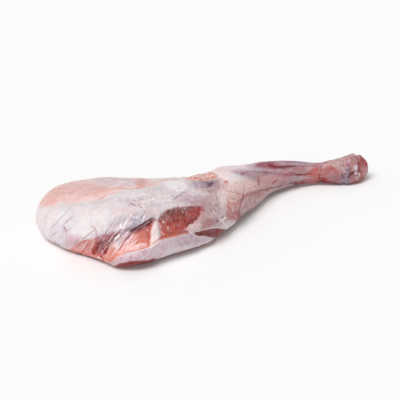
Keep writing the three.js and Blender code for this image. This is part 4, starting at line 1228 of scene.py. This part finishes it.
    line(SINEW, 1.7, 0.6, rise=0.5, lean=0.3, pale_bands=(
        [(147, 243), (140, 244.6), (134, 246.8), (127, 250.4)], [(138, 240), (133, 244), (127, 248.5)]))
    line(RUST, 1.1, 0.7, rise=-0.5, ragged=0.5, fan_seams=(
        [(125.6, 240), (122, 245), (120, 249.4)], [(116, 252), (112, 257), (110.5, 261)],
        [(129.5, 236.5), (124, 242.5)], [(140, 240), (135, 245)], [(145.4, 232.6), (148, 238), (150.4, 243)],
        [(111, 247), (108, 252), (106.6, 257)]))
    patch(PINK_FILM, 0.75, soft=1.3, ragged=1.4, lip_film=[
        (98, 240), (101, 237.8), (105, 237.6), (103.6, 241), (99.6, 243.4)])
    patch(BLOOD_RED, 0.4, soft=1.4, ragged=1.4, lip_blood=[
        (103, 246), (107, 244.4), (108.4, 247), (105, 250.4), (102.6, 250)])
    patch(FOLD_PINK, 0.88, soft=1.6, ragged=1.4, rise=0.3, pink_fold=[
        (113.6, 244), (118, 238.6), (123, 235), (128, 233), (133, 233.6), (131, 238.6), (125, 244),
        (118, 248.4)])
    patch(FOLD_WHITE, 0.85, soft=1.3, ragged=1.2, lean=0, rise=0.9, white_folds=(
        [(123.2, 232), (126.4, 230.8), (128.8, 231.8), (127.4, 235.2), (124.4, 238.6), (121.6, 239),
         (122, 235.6)],
        [(115.2, 240.8), (118.4, 238.6), (121.2, 239.6), (119.4, 243.2), (116.2, 244.4), (114.4, 243.2)]))
    # Mauve where the crevice's left end fades out, painted shade, with a dark crease line.
    patch(MAUVE_FILM, 0.65, soft=1.1, ragged=1, mauve_fold=[
        (121.6, 232), (124.6, 229.6), (128, 228.2), (132.4, 228.2), (132, 231.6), (128, 231.6), (124.6, 233),
        (122.4, 234)])
    line(DARK_PURPLE, 1, 0.7, rise=-0.4, ragged=0.7, fold_crease=[
        (124.4, 233), (126.4, 230.4), (129, 228.6)])
    line(WET_WHITE, 1.3, 0.85, wet=1, rise=0.4, ragged=0.7, fold_glints=(
        [(127.6, 231.6), (125.6, 234.2), (123.4, 237)], [(120.2, 240.2), (117.4, 243.2)]))
    line(DARK_BLOOD, 1.6, 0.85, rise=-0.6, red_seam=[(133, 232.6), (131, 234.4), (128.6, 237), (126, 240.2)])
    line(LEAN_RED, 1.6, 0.75, rise=-0.5, ragged=0.6, rust_seam=[
        (127, 237.6), (124.4, 241.6), (121.6, 246), (119.4, 250.4)])
    line(WINE, 2.1, rise=-1, wet=0.8, ragged=0.6, maroon_cut=[
        (107.6, 247.6), (105.6, 251), (103.8, 253.2), (101.8, 255.6)])
    line(WINE, 1.9, 0.9, maroon_foot=[(100.5, 255.6), (103, 258), (104.5, 260.5)])
    paint_strip(flesh)

    # The crevice under the lip, beside the white band, darkened as painted shade, with painted shade round
    # it.
    patch(LIP_SHADE, 0.5, soft=1.8, ragged=1.4, crevice_halo=[
        (130, 231), (133, 227.6), (139, 225), (148, 220.4), (154, 217), (155, 222), (148, 228), (139, 232),
        (132, 234)])
    patch(BLOOD_MAROON, 0.5, soft=1.2, ragged=1, dark_end=[
        (150.4, 219), (153.6, 217.4), (155.4, 219.6), (153, 223), (150.6, 222.6)])
    line(CREVICE_DARK, 2.1, rise=-2, wet=0.6, ragged=0.7, crevice=[
        (128.6, 232.6), (133, 230.6), (136.5, 228.4), (141, 225.8), (146, 222.6), (150, 219.8), (153, 218)])
    line(CREVICE_DARK, 1.6, 0.9, rise=-1, ragged=0.8, crevice_lower=[
        (137, 230), (141, 228.4), (146, 225.8), (150.4, 222.8), (153.5, 220.5)])
    line(CREVICE_BLACK, 2.6, 0.9, rise=-0.8, crevice_deep=[
        (131, 232), (133.4, 230.4), (135.6, 229), (138, 227.8)])
    line(PURPLE_FILM, 0.9, 0.8, rise=0.4, ragged=0.8, crevice_threads=(
        [(138.4, 228.4), (142, 226.4), (148.6, 222.4)], [(141, 228.8), (147, 225.6)],
        [(143, 224.6), (148, 221.6)]))
    crevice_tops = [(133, 227.6), (141, 224), (152, 217.4)]
    crevice_feet = [(130.6, 232.6), (137, 230), (149, 222.8)]
    flesh.strands(crevice_tops, crevice_feet, 12, [CREVICE_DARK, PURPLE_FILM, DARK_PURPLE], 0.8, 0.45,
                  seed=69, rise=-0.4)
    line(WHITE_FASCIA, 1.1, 0.85, wet=1, white_tick=[(147.4, 228.4), (147.6, 231)])
    glazes = (
        (WINE, 0.18, [(98, 245), (104, 238), (113, 233), (121, 231), (118, 238), (110, 246), (102, 253)]),
        (LEAN_PINK, 0.35, [(101, 241.4), (106, 238.6), (110, 238), (109, 242), (104, 246)]),
        (LEAN_PINK, 0.45, [(89.6, 241), (95, 239.8), (95, 244), (91.6, 247)]),
        (MAUVE_FILM, 0.22, [(90, 233.6), (97, 232.6), (99, 236.6), (91, 238)]),
        (LEAN_RED, 0.35, [(86, 251), (91, 250.6), (91, 255), (86, 255)]),
        (LEAN_RED, 0.3, [(108, 258.6), (113, 257), (112, 262), (108, 262)]),
        (LEAN_RED, 0.35, [(99, 255), (104, 254.6), (105, 258.6), (100, 259)]),
        (LEAN_RED, 0.35, [(138.6, 229.6), (146, 226.6), (147, 231), (140, 233)]),
        (DARK_BLOOD, 0.3, [(184, 229.4), (188, 229.4), (188.6, 232.6), (184, 232.6)]),
        (PINK_FILM, 0.35, [(161, 215), (165, 211.8), (167, 214), (163, 217)]),
        (WHITE_FASCIA, 0.35, [(134, 222), (141, 218.6), (147, 217.6), (144, 222.6), (136, 225)]),
    )
    flesh.glaze(glazes)


def paint_window(flesh):
    """The bare red muscle in the middle of the flank."""
    patch, line, spots = flesh.patch, flesh.line, flesh.spots
    window = [(159.4, 217.6), (162.8, 214.6), (166, 212.4), (169, 210.8), (172.6, 209.2), (176, 208.2),
              (181, 207.6), (185, 207.4), (189, 207), (193, 206.4), (197, 206.2), (200.4, 206.8),
              (202.4, 208.8), (202.6, 211.4), (201.2, 214.4), (198.8, 217.4), (195, 220.4), (192, 222.6),
              (188.6, 224.6), (187, 226), (186.8, 228), (186.6, 229.4), (188.4, 230.8), (190, 232.6),
              (184, 234), (178, 235.4), (170, 237.2), (164, 238.2), (159.6, 239.2), (160.6, 235),
              (160.8, 230), (158.8, 226), (158, 222)]
    bare = flesh.area(window, soft=2.1, ragged=1.1)
    flesh.lay(bare, WINDOW_LEAN, lean=1, wet=0.55, rise=-1.5)
    # The brown patch along the top is painted shade under the cap's overhang; the faint orange at the foot
    # is painted light.
    tissues = (
        (LEAN_ORANGE, 0.1, 3, [(161, 227), (170, 223), (182, 223), (183, 231), (174, 235), (162, 237)]),
        (LEAN_BROWN, 0.9, 2.5,
         [(160, 216), (170, 209), (184, 206), (188, 210), (186, 217), (178, 222), (168, 222), (161, 222)]),
        (WINDOW_RED, 0.9, 2,
         [(185, 210), (192, 204), (205, 204), (205, 214), (198, 221), (190, 226), (186, 219)]),
        (LEAN_DARK, 0.7, 1.6, [(166, 213), (169, 209), (175, 208), (176, 212.4), (170, 215), (166, 216)]),
        (LEAN_DARK, 0.5, 1.8, [(168, 219.6), (176, 218.4), (181, 219.4), (177, 222.4), (170, 222.6)]),
        (LEAN_DARK, 0.55, 1.6,
         [(198.4, 214.6), (199, 217), (194, 221.6), (188, 225), (186, 224.4), (190, 219.6)]),
        (WINDOW_RED, 0.35, 2, [(175, 229), (184, 226), (186, 231), (178, 234)]),
        (RUST, 0.7, 0.8,
         [(159, 238), (164, 236.8), (170, 235.8), (178, 234), (187, 232.4), (190, 233), (178, 237),
          (160, 240)]),
    )
    for colour, share, soft, outline in tissues:
        flesh.lay(bare * flesh.area(outline, soft=soft, ragged=1.5), colour, share)
    patch(PINK_FILM, 0.6, soft=1.4, ragged=1.4, purple_veil=[
        (176, 207.6), (186, 206.4), (189, 209), (187, 214), (184, 209.6), (178, 209.6)])
    line(LEAN_DARK, 1.4, 0.5, rise=-0.5, ragged=0.8, cuts=(
        [(201, 212.5), (197, 217.5), (192, 222), (187, 224.8)], [(185.6, 214), (186.6, 219), (185.6, 224)],
        [(181, 212.4), (184, 213)], [(186, 210), (189, 211.6)], [(171, 224.6), (170.4, 230), (171, 236)]))
    line(MAROON, 1.6, 0.75, rise=-0.4, ragged=0.6, flap_shade=[
        (199, 215), (195.4, 219.2), (191.6, 222.2), (187.4, 224.6), (185.6, 227)])
    fibre_tops, fibre_feet = [(164, 214), (180, 210), (199, 208.6)], [(163, 236), (178, 233), (190, 224)]
    flesh.strands(fibre_tops, fibre_feet, 34, [LEAN_DARK, LEAN_ORANGE, LEAN_BROWN, RUST], 0.9, 0.18,
                  seed=103)
    patch(PINK_FILM, 0.45, soft=1.1, tip=[
        (186, 228.6), (187.6, 228), (190, 229.6), (189, 231), (186.6, 231)])
    line(PINK_FILM, 1.2, 0.4, rise=0.3, ragged=0.7, tip_fold=[(186, 226.4), (184.4, 228.8), (184.8, 231)])
    spots(DARK_BLOOD, 1.9, 0.8, dark_tip=[(187.3, 231.8)])
    veil_tops = [(158.5, 219), (161, 214.6), (166, 211.4)]
    veil_feet = [(165, 228), (169, 224), (173, 218)]
    flesh.strands(veil_tops, veil_feet, 20, [PALE_SINEW, LEAN_PINK, SINEW], 0.6, 0.38, seed=37, rise=0.3)
    torn_tops = [(160, 215), (165, 210.5), (172, 208.6), (180, 207.6)]
    torn_feet = [(161, 221), (166, 217), (173, 214), (181, 211)]
    flesh.strands(torn_tops, torn_feet, 16, [SINEW, LEAN_DARK, LEAN_DARK], 0.7, 0.6, seed=93, rise=0.3)
    film_tops = [(162, 209.5), (180, 206), (200, 204.5)]
    film_feet = [(164, 213.5), (183, 209.5), (200, 208.5)]
    flesh.strands(film_tops, film_feet, 7, [GREY_FILM, BEIGE_FILM, LEAN_PINK], 1.8, 0.35, seed=68)
    spots(LEAN_PINK, 3.2, 0.8, pale_specks=((161.6, 231.6), (163.4, 233.4), (160.6, 226.6), (168.6, 227.6)))
    spots(WET_WHITE, 1.4, 0.9, wet=1, glints=(
        (164.2, 221.7), (182.2, 210.5), (183.6, 212.4), (185, 209.5), (161.5, 218.5), (163, 215.5)))


def paint_strip(flesh):
    """The white band beside the window, the firm strip at the flank's foot and the gape at its end."""
    patch, line, spots = flesh.patch, flesh.line, flesh.spots
    patch(SINEW, soft=1.6, ragged=1.5, rise=0.8, lean=0, wet=0.5, band=[
        (156.5, 212), (160, 213.5), (160.3, 217), (158, 221), (157.8, 228), (158.8, 236), (160, 239),
        (157, 242.5), (152, 246.5), (149, 247.5), (151, 243), (152.3, 236), (152.5, 230), (153.5, 224),
        (155.5, 218)])
    line(PALE_SINEW, 1.9, 0.7, ragged=0.9, band_side=(
        [(160, 222), (158.6, 226), (160, 230)], [(159.4, 232), (160.4, 236)], [(160.6, 215), (159, 219)]))
    line(WHITE_FASCIA, 1.6, 0.8, band_blue=[(154.6, 224), (153.8, 230), (154, 237)])
    line(PALE_SINEW, 1.6, 0.7, band_blush=[(153.5, 241.5), (153.2, 234), (154, 226)])
    patch(STRIP_LAVENDER, soft=1, lean=0, wet=0.4, rise=0.6, foot_strip=[
        (110, 263), (115, 259.5), (120, 257), (127, 254), (136, 251.5), (146, 249.5), (152, 247.5),
        (158, 243.5), (161, 240.5), (170, 238), (180, 236), (188, 234), (191, 233.5), (194, 236),
        (200, 237.5), (208, 238.5), (216, 238), (222, 236), (226, 244), (200, 262), (160, 275), (110, 275)])
    strip_edges = [(112, 264), (127, 254), (152, 247.5), (161, 240.5), (191, 233.5), (222, 236), (226, 246),
                   (160, 275), (110, 275)]
    strip = flesh.area(strip_edges)
    flesh.spread_web(strip, share=0.5)
    # Painted shade darkens the strip towards its right end; painted light brightens its lower edge.
    patch(STRIP_GREY, 0.65, soft=6, shade=[
        (176, 240), (190, 234), (226, 236), (226, 246), (200, 252), (178, 254)])
    patch(WHITE_FASCIA, 0.85, soft=3, strip_foot=[
        (160, 257), (172, 251), (186, 246.4), (200, 243), (212, 238.4), (222, 236), (224, 240), (206, 248),
        (190, 252), (172, 258)])
    patch(WHITE_FASCIA, 0.4, soft=3, strip_light=[
        (134, 256), (146, 252), (160, 247.6), (176, 244), (180, 249), (166, 254.6), (148, 258)])
    patch(JOINT_PINK, 0.55, soft=1.6, strip_tip=[
        (110, 263), (116, 259), (122, 257.6), (121, 261), (115, 264)])
    slope = flesh.direction(start=(130, 256), end=(190, 240))
    flesh.mottle(strip, PINK_FILM, 6, 0.4, seed=64, along=slope, run=2)
    flesh.mottle(strip, SINEW, 3, 0.2, seed=65, rise=0.1)
    flesh.threads(strip, SINEW, 4, 0.55, seed=66, thin=0.09, rise=0.12)
    flesh.threads(strip, PURPLE_FILM, 6, 0.2, seed=67, thin=0.07)
    spots(BLOOD_RED, 1.5, 0.55, red_dots=(
        (131.5, 257.3), (144, 254.2), (138, 257.5), (166, 248), (186, 243), (143.6, 252.4)))
    line(SINEW, 1, 0.7, rise=0.3, strip_edge=[
        (150, 260.5), (164, 256.5), (178, 252), (192, 247.5), (206, 242.7), (216, 238.5)])
    line(BLOOD_RED, 1.8, 0.65, foot_blood=[(180, 250.7), (184, 250), (188, 248.7)])
    patch(DARK_FOOT, soft=0.8, lean=1, wet=0.2, foot_lean=[
        (116, 265.2), (123, 262.8), (130, 260.9), (145, 260), (157, 258.7), (158, 275), (116, 275)])
    line(RUST, 1.2, 0.75, rise=-0.3, ends=0.05, rust_border=[
        (110, 262), (113, 257.6), (118, 254), (125, 252.4), (135, 250), (146, 247.4), (152.5, 243.8),
        (158.5, 239.4), (164, 237.7), (176, 235), (189.5, 232.5)])
    patch(GAPE_LEAN, soft=0.9, lean=0.8, wet=0.5, rise=-1.8, gape=[
        (195, 233.3), (198.6, 232.2), (205, 230.5), (212, 229), (217, 228.6), (221, 229), (227, 230),
        (226, 234), (221, 239), (214, 238), (206, 235.8), (199, 235.4), (196, 234.6)])
    patch(LEAN_BROWN, 0.5, soft=1.5, gape_light=[
        (196, 233.5), (200, 232.3), (206, 232), (205, 235.5), (199, 235.7)])
    line(SINEW, 1.4, 0.8, rise=0.5, ragged=0.6, white_ridge=[
        (188.6, 231.4), (191.4, 232.8), (193.8, 234.6), (197, 236.4), (202, 237.6)])
    line(SINEW, 1, 0.75, rise=0.8, gape_rim=[
        (192, 232.3), (200, 230.3), (207, 228.8), (213, 227.5), (219, 227.5), (222, 229)])


def paint_far_side(flesh):
    """The side away from the flank: thin fat over lean, the cut edge at its foot, the back of the shank."""
    patch, line, spots = flesh.patch, flesh.line, flesh.spots
    flesh.look(FAR_VIEW, clear_of=PHOTO_VIEW)
    length = flesh.direction(start=(230, 170), end=(300, 168))
    thin_fat = (
        [(212, 160), (236, 150), (262, 154), (282, 165), (268, 177), (240, 180), (218, 174)],
        [(288, 158), (316, 154), (334, 164), (320, 178), (296, 178)],
    )
    for outline in thin_fat:
        thin = flesh.area(outline, soft=9, ragged=4)
        flesh.lay(thin, PINK_FILM, 0.4)
        flesh.mottle(thin, LEAN_PINK, 7, 0.5, seed=94, along=length, run=2.5)
        flesh.mottle(thin, PALE_PEACH_FAT, 4, 0.4, seed=95, along=length, run=3)
    line(DEEP_PEACH_FAT, 2.6, 0.5, rise=-0.6, ragged=1.2, seams=(
        [(316, 140), (323, 146), (325, 153), (329, 160), (326, 170)],
        [(262, 150), (271, 151), (279, 155), (293, 154)],
        [(218, 150), (224, 155), (236, 156), (243, 161), (256, 162)], [(296, 151), (304, 153), (311, 150)]))
    line(WHITE_FASCIA, 3, 0.35, rise=0.3, ragged=1.2, seam_lights=(
        [(321, 142), (327, 150), (331, 158)], [(264, 153), (272, 154), (280, 158)],
        [(226, 158), (237, 159), (244, 164)]))
    line(BLOOD_RED, 1.8, 0.32, ragged=1.1, blood_streaks=(
        [(300, 166), (305, 166.4), (310, 168)], [(283, 171), (288, 171.4)],
        [(245, 167), (250, 166.6), (257, 168.4)], [(330, 154), (334, 155), (337, 158)],
        [(208, 168), (211, 171), (212, 175)]))
    line(VEIN, 1.8, 0.3, ragged=0.9, far_veins=(
        [(176, 176), (188, 177), (197, 181), (210, 181.6)], [(197, 181), (203, 176), (212, 174)]))

    # The cut edge at the foot, under a pale rim of fat.
    foot_cut = [(196, 196), (208, 188.6), (222, 186), (236, 182.6), (252, 182.4), (268, 179), (284, 181),
                (300, 178.4), (318, 179.4), (330, 179), (340, 178), (343, 182), (326, 196), (200, 202)]
    cut = flesh.area(foot_cut, soft=1.8, ragged=2)
    flesh.lay(cut, LEAN_RED, 0.95, lean=0.9, wet=0.55, rise=-0.8)
    flesh.mottle(cut, LEAN_DARK, 5, 0.4, seed=96, along=length, run=3)
    flesh.mottle(cut, LEAN_PINK, 3.5, 0.5, seed=97, along=length, run=3)
    flesh.threads(cut, PALE_SINEW, 8, 0.45, seed=98, along=length, run=5, thin=0.1, rise=0.2)
    line(SINEW, 2.4, 0.7, rise=0.7, ragged=1, fat_rim=[
        (204, 190), (222, 185.4), (236, 181.8), (252, 181.4), (268, 178), (284, 180), (300, 177.4),
        (318, 178.4), (330, 177.6), (341, 176.4)])

    # The back of the elbow and the shank: film, purple lean and pale sinews.
    elbow_back = [(126, 180), (150, 166), (176, 156), (198, 168), (206, 188), (180, 200), (150, 207),
                  (130, 204)]
    back = flesh.area(elbow_back, soft=8, ragged=3)
    flesh.lay(back, PALE_PEACH_FAT, 0.6)
    flesh.mottle(back, LAVENDER_FASCIA, 9, 0.4, seed=99)
    flesh.mottle(back, WHITE_FASCIA, 5, 0.4, seed=100, sharp=3, rise=0.15)
    flesh.mottle(back, BLOOD_RED, 6, 0.12, seed=101)
    flesh.threads(back, DEEP_PEACH_FAT, 9, 0.35, seed=102, thin=0.08)
    patch(SHANK_LEAN, 0.6, soft=2.6, ragged=2, wet=0.5, back_lean=[
        (92, 203), (112, 199), (130, 192), (148, 182), (156, 186), (144, 197), (126, 205), (104, 209)])
    line(MAROON, 1.9, 0.6, rise=-0.7, ragged=0.7, back_furrows=(
        [(80, 204), (100, 203), (120, 199), (142, 189)], [(96, 209), (116, 206), (136, 200)]))
    line(SHANK_LIGHT, 2.6, 0.7, rise=0.6, wet=0.6, ragged=0.6, back_sinews=(
        [(66, 201), (88, 199.6), (110, 195), (132, 186), (146, 178)],
        [(78, 209.6), (98, 208.6), (118, 204)]))
    line(PURPLE_CLOT, 1.6, 0.5, ragged=0.8, back_streaks=(
        [(104, 205), (118, 202.6)], [(122, 201), (134, 196)], [(128, 195), (142, 188)]))

    # The back of the knuckle: thin skin, gristle and the lumps of the joint.
    patch(SHANK_PALE, 0.6, soft=4, ragged=2, back_skin=[
        (42, 196), (56, 196), (68, 202), (64, 210), (50, 212), (42, 206)])
    patch(GRISTLE, 0.75, soft=2, ragged=1.6, back_gristle=[
        (38, 202), (43, 203), (45, 210), (43, 217), (38, 219), (37, 210)])
    spots(JOINT_PALE, 4.5, 0.6, rise=0.9, back_lumps=((33, 202), (31, 209), (34, 215), (39, 198)))
    line(DARK_PURPLE, 1.8, 0.7, rise=-0.8, ragged=0.8, back_cracks=(
        [(36.6, 199), (36, 206), (37, 213), (35, 219)], [(31, 205.6), (36, 205.4)], [(45, 204), (47, 211)]))
    flesh.look(PHOTO_VIEW)


def press_relief(flesh):
    """Moves the skin by its relief and by a fine natural unevenness, and keeps it on the table."""
    grain = flesh.direction(start=(148, 212), end=(132, 246))
    lumps = flesh.cloud(LUMP_SIZE, seed=11) * LUMP_HEIGHT
    pimples = flesh.cloud(PIMPLE_SIZE, seed=13) * PIMPLE_HEIGHT
    fibres = flesh.cloud(FIBRE_SIZE, seed=17, along=grain, run=5) * FIBRE_HEIGHT * flesh.lean
    moved = flesh.place + flesh.out * (flesh.rise + (lumps + pimples + fibres) * MM)[:, None]
    moved[:, 2] = np.maximum(moved[:, 2], 0)
    flesh.skin.vertices.foreach_set("co", moved.ravel())
    flesh.skin.update()


def keep_tissue(flesh):
    """Writes the tissue to the mesh, for the material to read."""
    tint = flesh.skin.attributes.new("flesh_tint", "FLOAT_COLOR", "POINT")
    opaque = np.concatenate([flesh.tint, np.ones((len(flesh.tint), 1))], axis=1)
    tint.data.foreach_set("color", opaque.ravel())
    for name, values in (("lean", flesh.lean), ("wet", flesh.wet), ("web", flesh.web)):
        tissue = flesh.skin.attributes.new(name, "FLOAT", "POINT")
        tissue.data.foreach_set("value", np.clip(values, 0, 1))


class Finish:
    """A material's nodes, wired one by one."""

    def __init__(self, name):
        self.material = bpy.data.materials.new(name)
        self.material.use_nodes = True
        self.nodes = self.material.node_tree.nodes
        self.shader = self.nodes["Principled BSDF"]

    def wire(self, source, target):
        """Joins two sockets."""
        self.material.node_tree.links.new(source, target)

    def node(self, kind, inputs=(), **settings):
        """A node with its settings, its inputs wired or set."""
        made = self.nodes.new(kind)
        for key, value in settings.items():
            setattr(made, key, value)
        for key, value in dict(inputs).items():
            if isinstance(value, bpy.types.NodeSocket):
                self.wire(value, made.inputs[key])
            else:
                made.inputs[key].default_value = value
        return made

    def surface(self, values):
        """Values of the surface that are the same all over."""
        for socket, value in values.items():
            self.shader.inputs[socket].default_value = value

    def tissue(self, name):
        """The tissue that was laid on the mesh."""
        return self.node("ShaderNodeAttribute", attribute_name=name)

    def grain(self, scale, stretch=(1, 1, 1), turn=(0, 0, 0), detail=3, swirl=0):
        """Noise over the object, stretched along one direction for fibres."""
        place = self.node("ShaderNodeTexCoord").outputs["Object"]
        laid = self.node("ShaderNodeMapping", {"Vector": place, "Rotation": turn, "Scale": stretch})
        noisy = {"Vector": laid.outputs["Vector"], "Scale": scale, "Detail": detail, "Distortion": swirl}
        return self.node("ShaderNodeTexNoise", noisy).outputs["Fac"]

    def thread(self, value, thin):
        """A thin thread wherever a noise value crosses its middle."""
        gap = self.maths("ABSOLUTE", self.maths("SUBTRACT", value, NOISE_MIDDLE), 0)
        return self.spread(gap, 0, thin, 1, 0)

    def blend(self, share, under, colour):
        """A tissue's colour laid over another by a share."""
        over = (*screen_colour(colour), 1)
        made = self.node("ShaderNodeMixRGB", {"Fac": share, "Color1": under, "Color2": over})
        return made.outputs["Color"]

    def between(self, value, low, high):
        """A noise value spread between two limits."""
        return self.spread(value, NOISE_LOW, NOISE_HIGH, low, high)

    def spread(self, value, start, end, low, high):
        """A value's way from start to end, carried over to low and high."""
        limits = {"From Min": start, "From Max": end, "To Min": low, "To Max": high}
        return self.node("ShaderNodeMapRange", {"Value": value, **limits}).outputs["Result"]

    def maths(self, operation, *values):
        """A sum on one to three values."""
        return self.node("ShaderNodeMath", enumerate(values), operation=operation).outputs["Value"]


def moist_flesh():
    """Fat, fascia and lean from the tissue on the mesh, with fibres in the lean and a moist sheen."""
    finish = Finish("moist_flesh")
    tint = finish.tissue("flesh_tint").outputs["Color"]
    lean = finish.tissue("lean").outputs["Fac"]
    wet = finish.tissue("wet").outputs["Fac"]
    web = finish.tissue("web").outputs["Fac"]

    # Brightness: fibres in the lean, a net of pale threads and a speckle.
    fibre = finish.grain(FIBRE_GRAIN, stretch=FIBRE_STRETCH, turn=FIBRE_TURN, detail=4)
    streak = finish.maths("MULTIPLY_ADD", finish.between(fibre, *FIBRE_RANGE), lean, 1)
    net = finish.thread(finish.grain(NET_GRAIN, swirl=NET_SWIRL), NET_THREAD)
    glisten = finish.maths("MULTIPLY_ADD", finish.maths("MULTIPLY", net, web), NET_LIGHT, NET_GROUND)
    spots = finish.between(finish.grain(SPECKLE_GRAIN, detail=5), *SPECKLE_RANGE)
    speckle = finish.maths("MULTIPLY_ADD", spots, web, 1)
    value = finish.maths("MULTIPLY", finish.maths("MULTIPLY", speckle, streak), glisten)

    # Colour: the tint of the tissue, more and less flushed, with fine vessels.
    flush = finish.between(finish.grain(FLUSH_GRAIN, detail=4), *FLUSH_RANGE)
    coloured = finish.node("ShaderNodeHueSaturation", {"Color": tint, "Saturation": flush, "Value": value})
    vessel = finish.thread(finish.grain(VESSEL_GRAIN, swirl=VESSEL_SWIRL), VESSEL_THREAD)
    vessels = finish.maths("MULTIPLY", vessel, finish.maths("MULTIPLY", web, VESSEL_SHARE))
    veined = finish.blend(vessels, coloured.outputs["Color"], BLOOD_RED)
    finish.wire(veined, finish.shader.inputs["Base Color"])

    # Sheen and small relief: smoother where it is wet, fibres in the lean, dimples in the web.
    rough = finish.maths("MULTIPLY_ADD", wet, WET_CHANGE, DRY_ROUGHNESS)
    finish.wire(rough, finish.shader.inputs["Roughness"])
    dimple = finish.grain(DIMPLE_GRAIN, detail=2)
    dimples = finish.maths("MULTIPLY", dimple, finish.maths("MULTIPLY", web, DIMPLE_SHARE))
    height = finish.maths("ADD", finish.maths("MULTIPLY", fibre, lean), dimples)
    bump = finish.node("ShaderNodeBump",
                       {"Height": height, "Strength": BUMP_STRENGTH, "Distance": BUMP_DEPTH})
    finish.wire(bump.outputs["Normal"], finish.shader.inputs["Normal"])
    finish.surface(FLESH_SURFACE)
    return finish.material


def make_shoulder():
    """The shoulder's flesh, shaped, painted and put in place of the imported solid."""
    skin = divided_skin()
    flesh = Flesh(skin)
    paint_underside(flesh)
    paint_elbow(flesh)
    paint_shank(flesh)
    paint_knuckle(flesh)
    paint_cap(flesh)
    paint_torn_fat(flesh)
    paint_flank(flesh)
    paint_far_side(flesh)
    press_relief(flesh)
    keep_tissue(flesh)
    skin.shade_smooth()
    skin.materials.append(moist_flesh())
    shoulder = bpy.data.objects.new("shoulder_flesh", skin)
    bpy.context.scene.collection.objects.link(shoulder)
    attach(shoulder, "root")
    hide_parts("shoulder")
    return shoulder


def make_table():
    """A plain pale floor under the shoulder."""
    made = bmesh.new()
    bmesh.ops.create_grid(made, x_segments=1, y_segments=1, size=TABLE_REACH)
    mesh = bpy.data.meshes.new("table")
    made.to_mesh(mesh)
    made.free()
    finish = Finish("pale_table")
    finish.surface(TABLE_SURFACE)
    mesh.materials.append(finish.material)
    table = bpy.data.objects.new("table", mesh)
    bpy.context.scene.collection.objects.link(table)


def light_studio():
    """A white fill all round and one soft key light."""
    world = bpy.data.worlds.new("white_studio")
    world.use_nodes = True
    background = world.node_tree.nodes["Background"]
    background.inputs["Color"].default_value = WHITE
    background.inputs["Strength"].default_value = FILL_LIGHT
    bpy.context.scene.world = world
    data = bpy.data.lights.new("soft_key", "SUN")
    data.energy = KEY_LIGHT
    data.angle = KEY_SPREAD
    lamp = bpy.data.objects.new("soft_key", data)
    lamp.rotation_mode = "QUATERNION"
    lamp.rotation_quaternion = (-KEY_FROM).to_track_quat("-Z", "Y")
    bpy.context.scene.collection.objects.link(lamp)
    bpy.context.scene.view_settings.view_transform = "Standard"


def place_camera():
    """The camera in the photograph's view."""
    data = bpy.data.cameras.new("photo_view")
    data.sensor_width = SENSOR_MM
    data.lens = SENSOR_MM * FOCAL_PIXELS / PHOTO_PIXELS
    camera = bpy.data.objects.new("photo_view", data)
    camera.location = PHOTO_VIEW.eye
    camera.rotation_mode = "QUATERNION"
    camera.rotation_quaternion = (-PHOTO_VIEW.to_viewer).to_track_quat("-Z", "Y")
    bpy.context.scene.collection.objects.link(camera)
    bpy.context.scene.camera = camera


place_camera()
light_studio()
make_table()
make_shoulder()
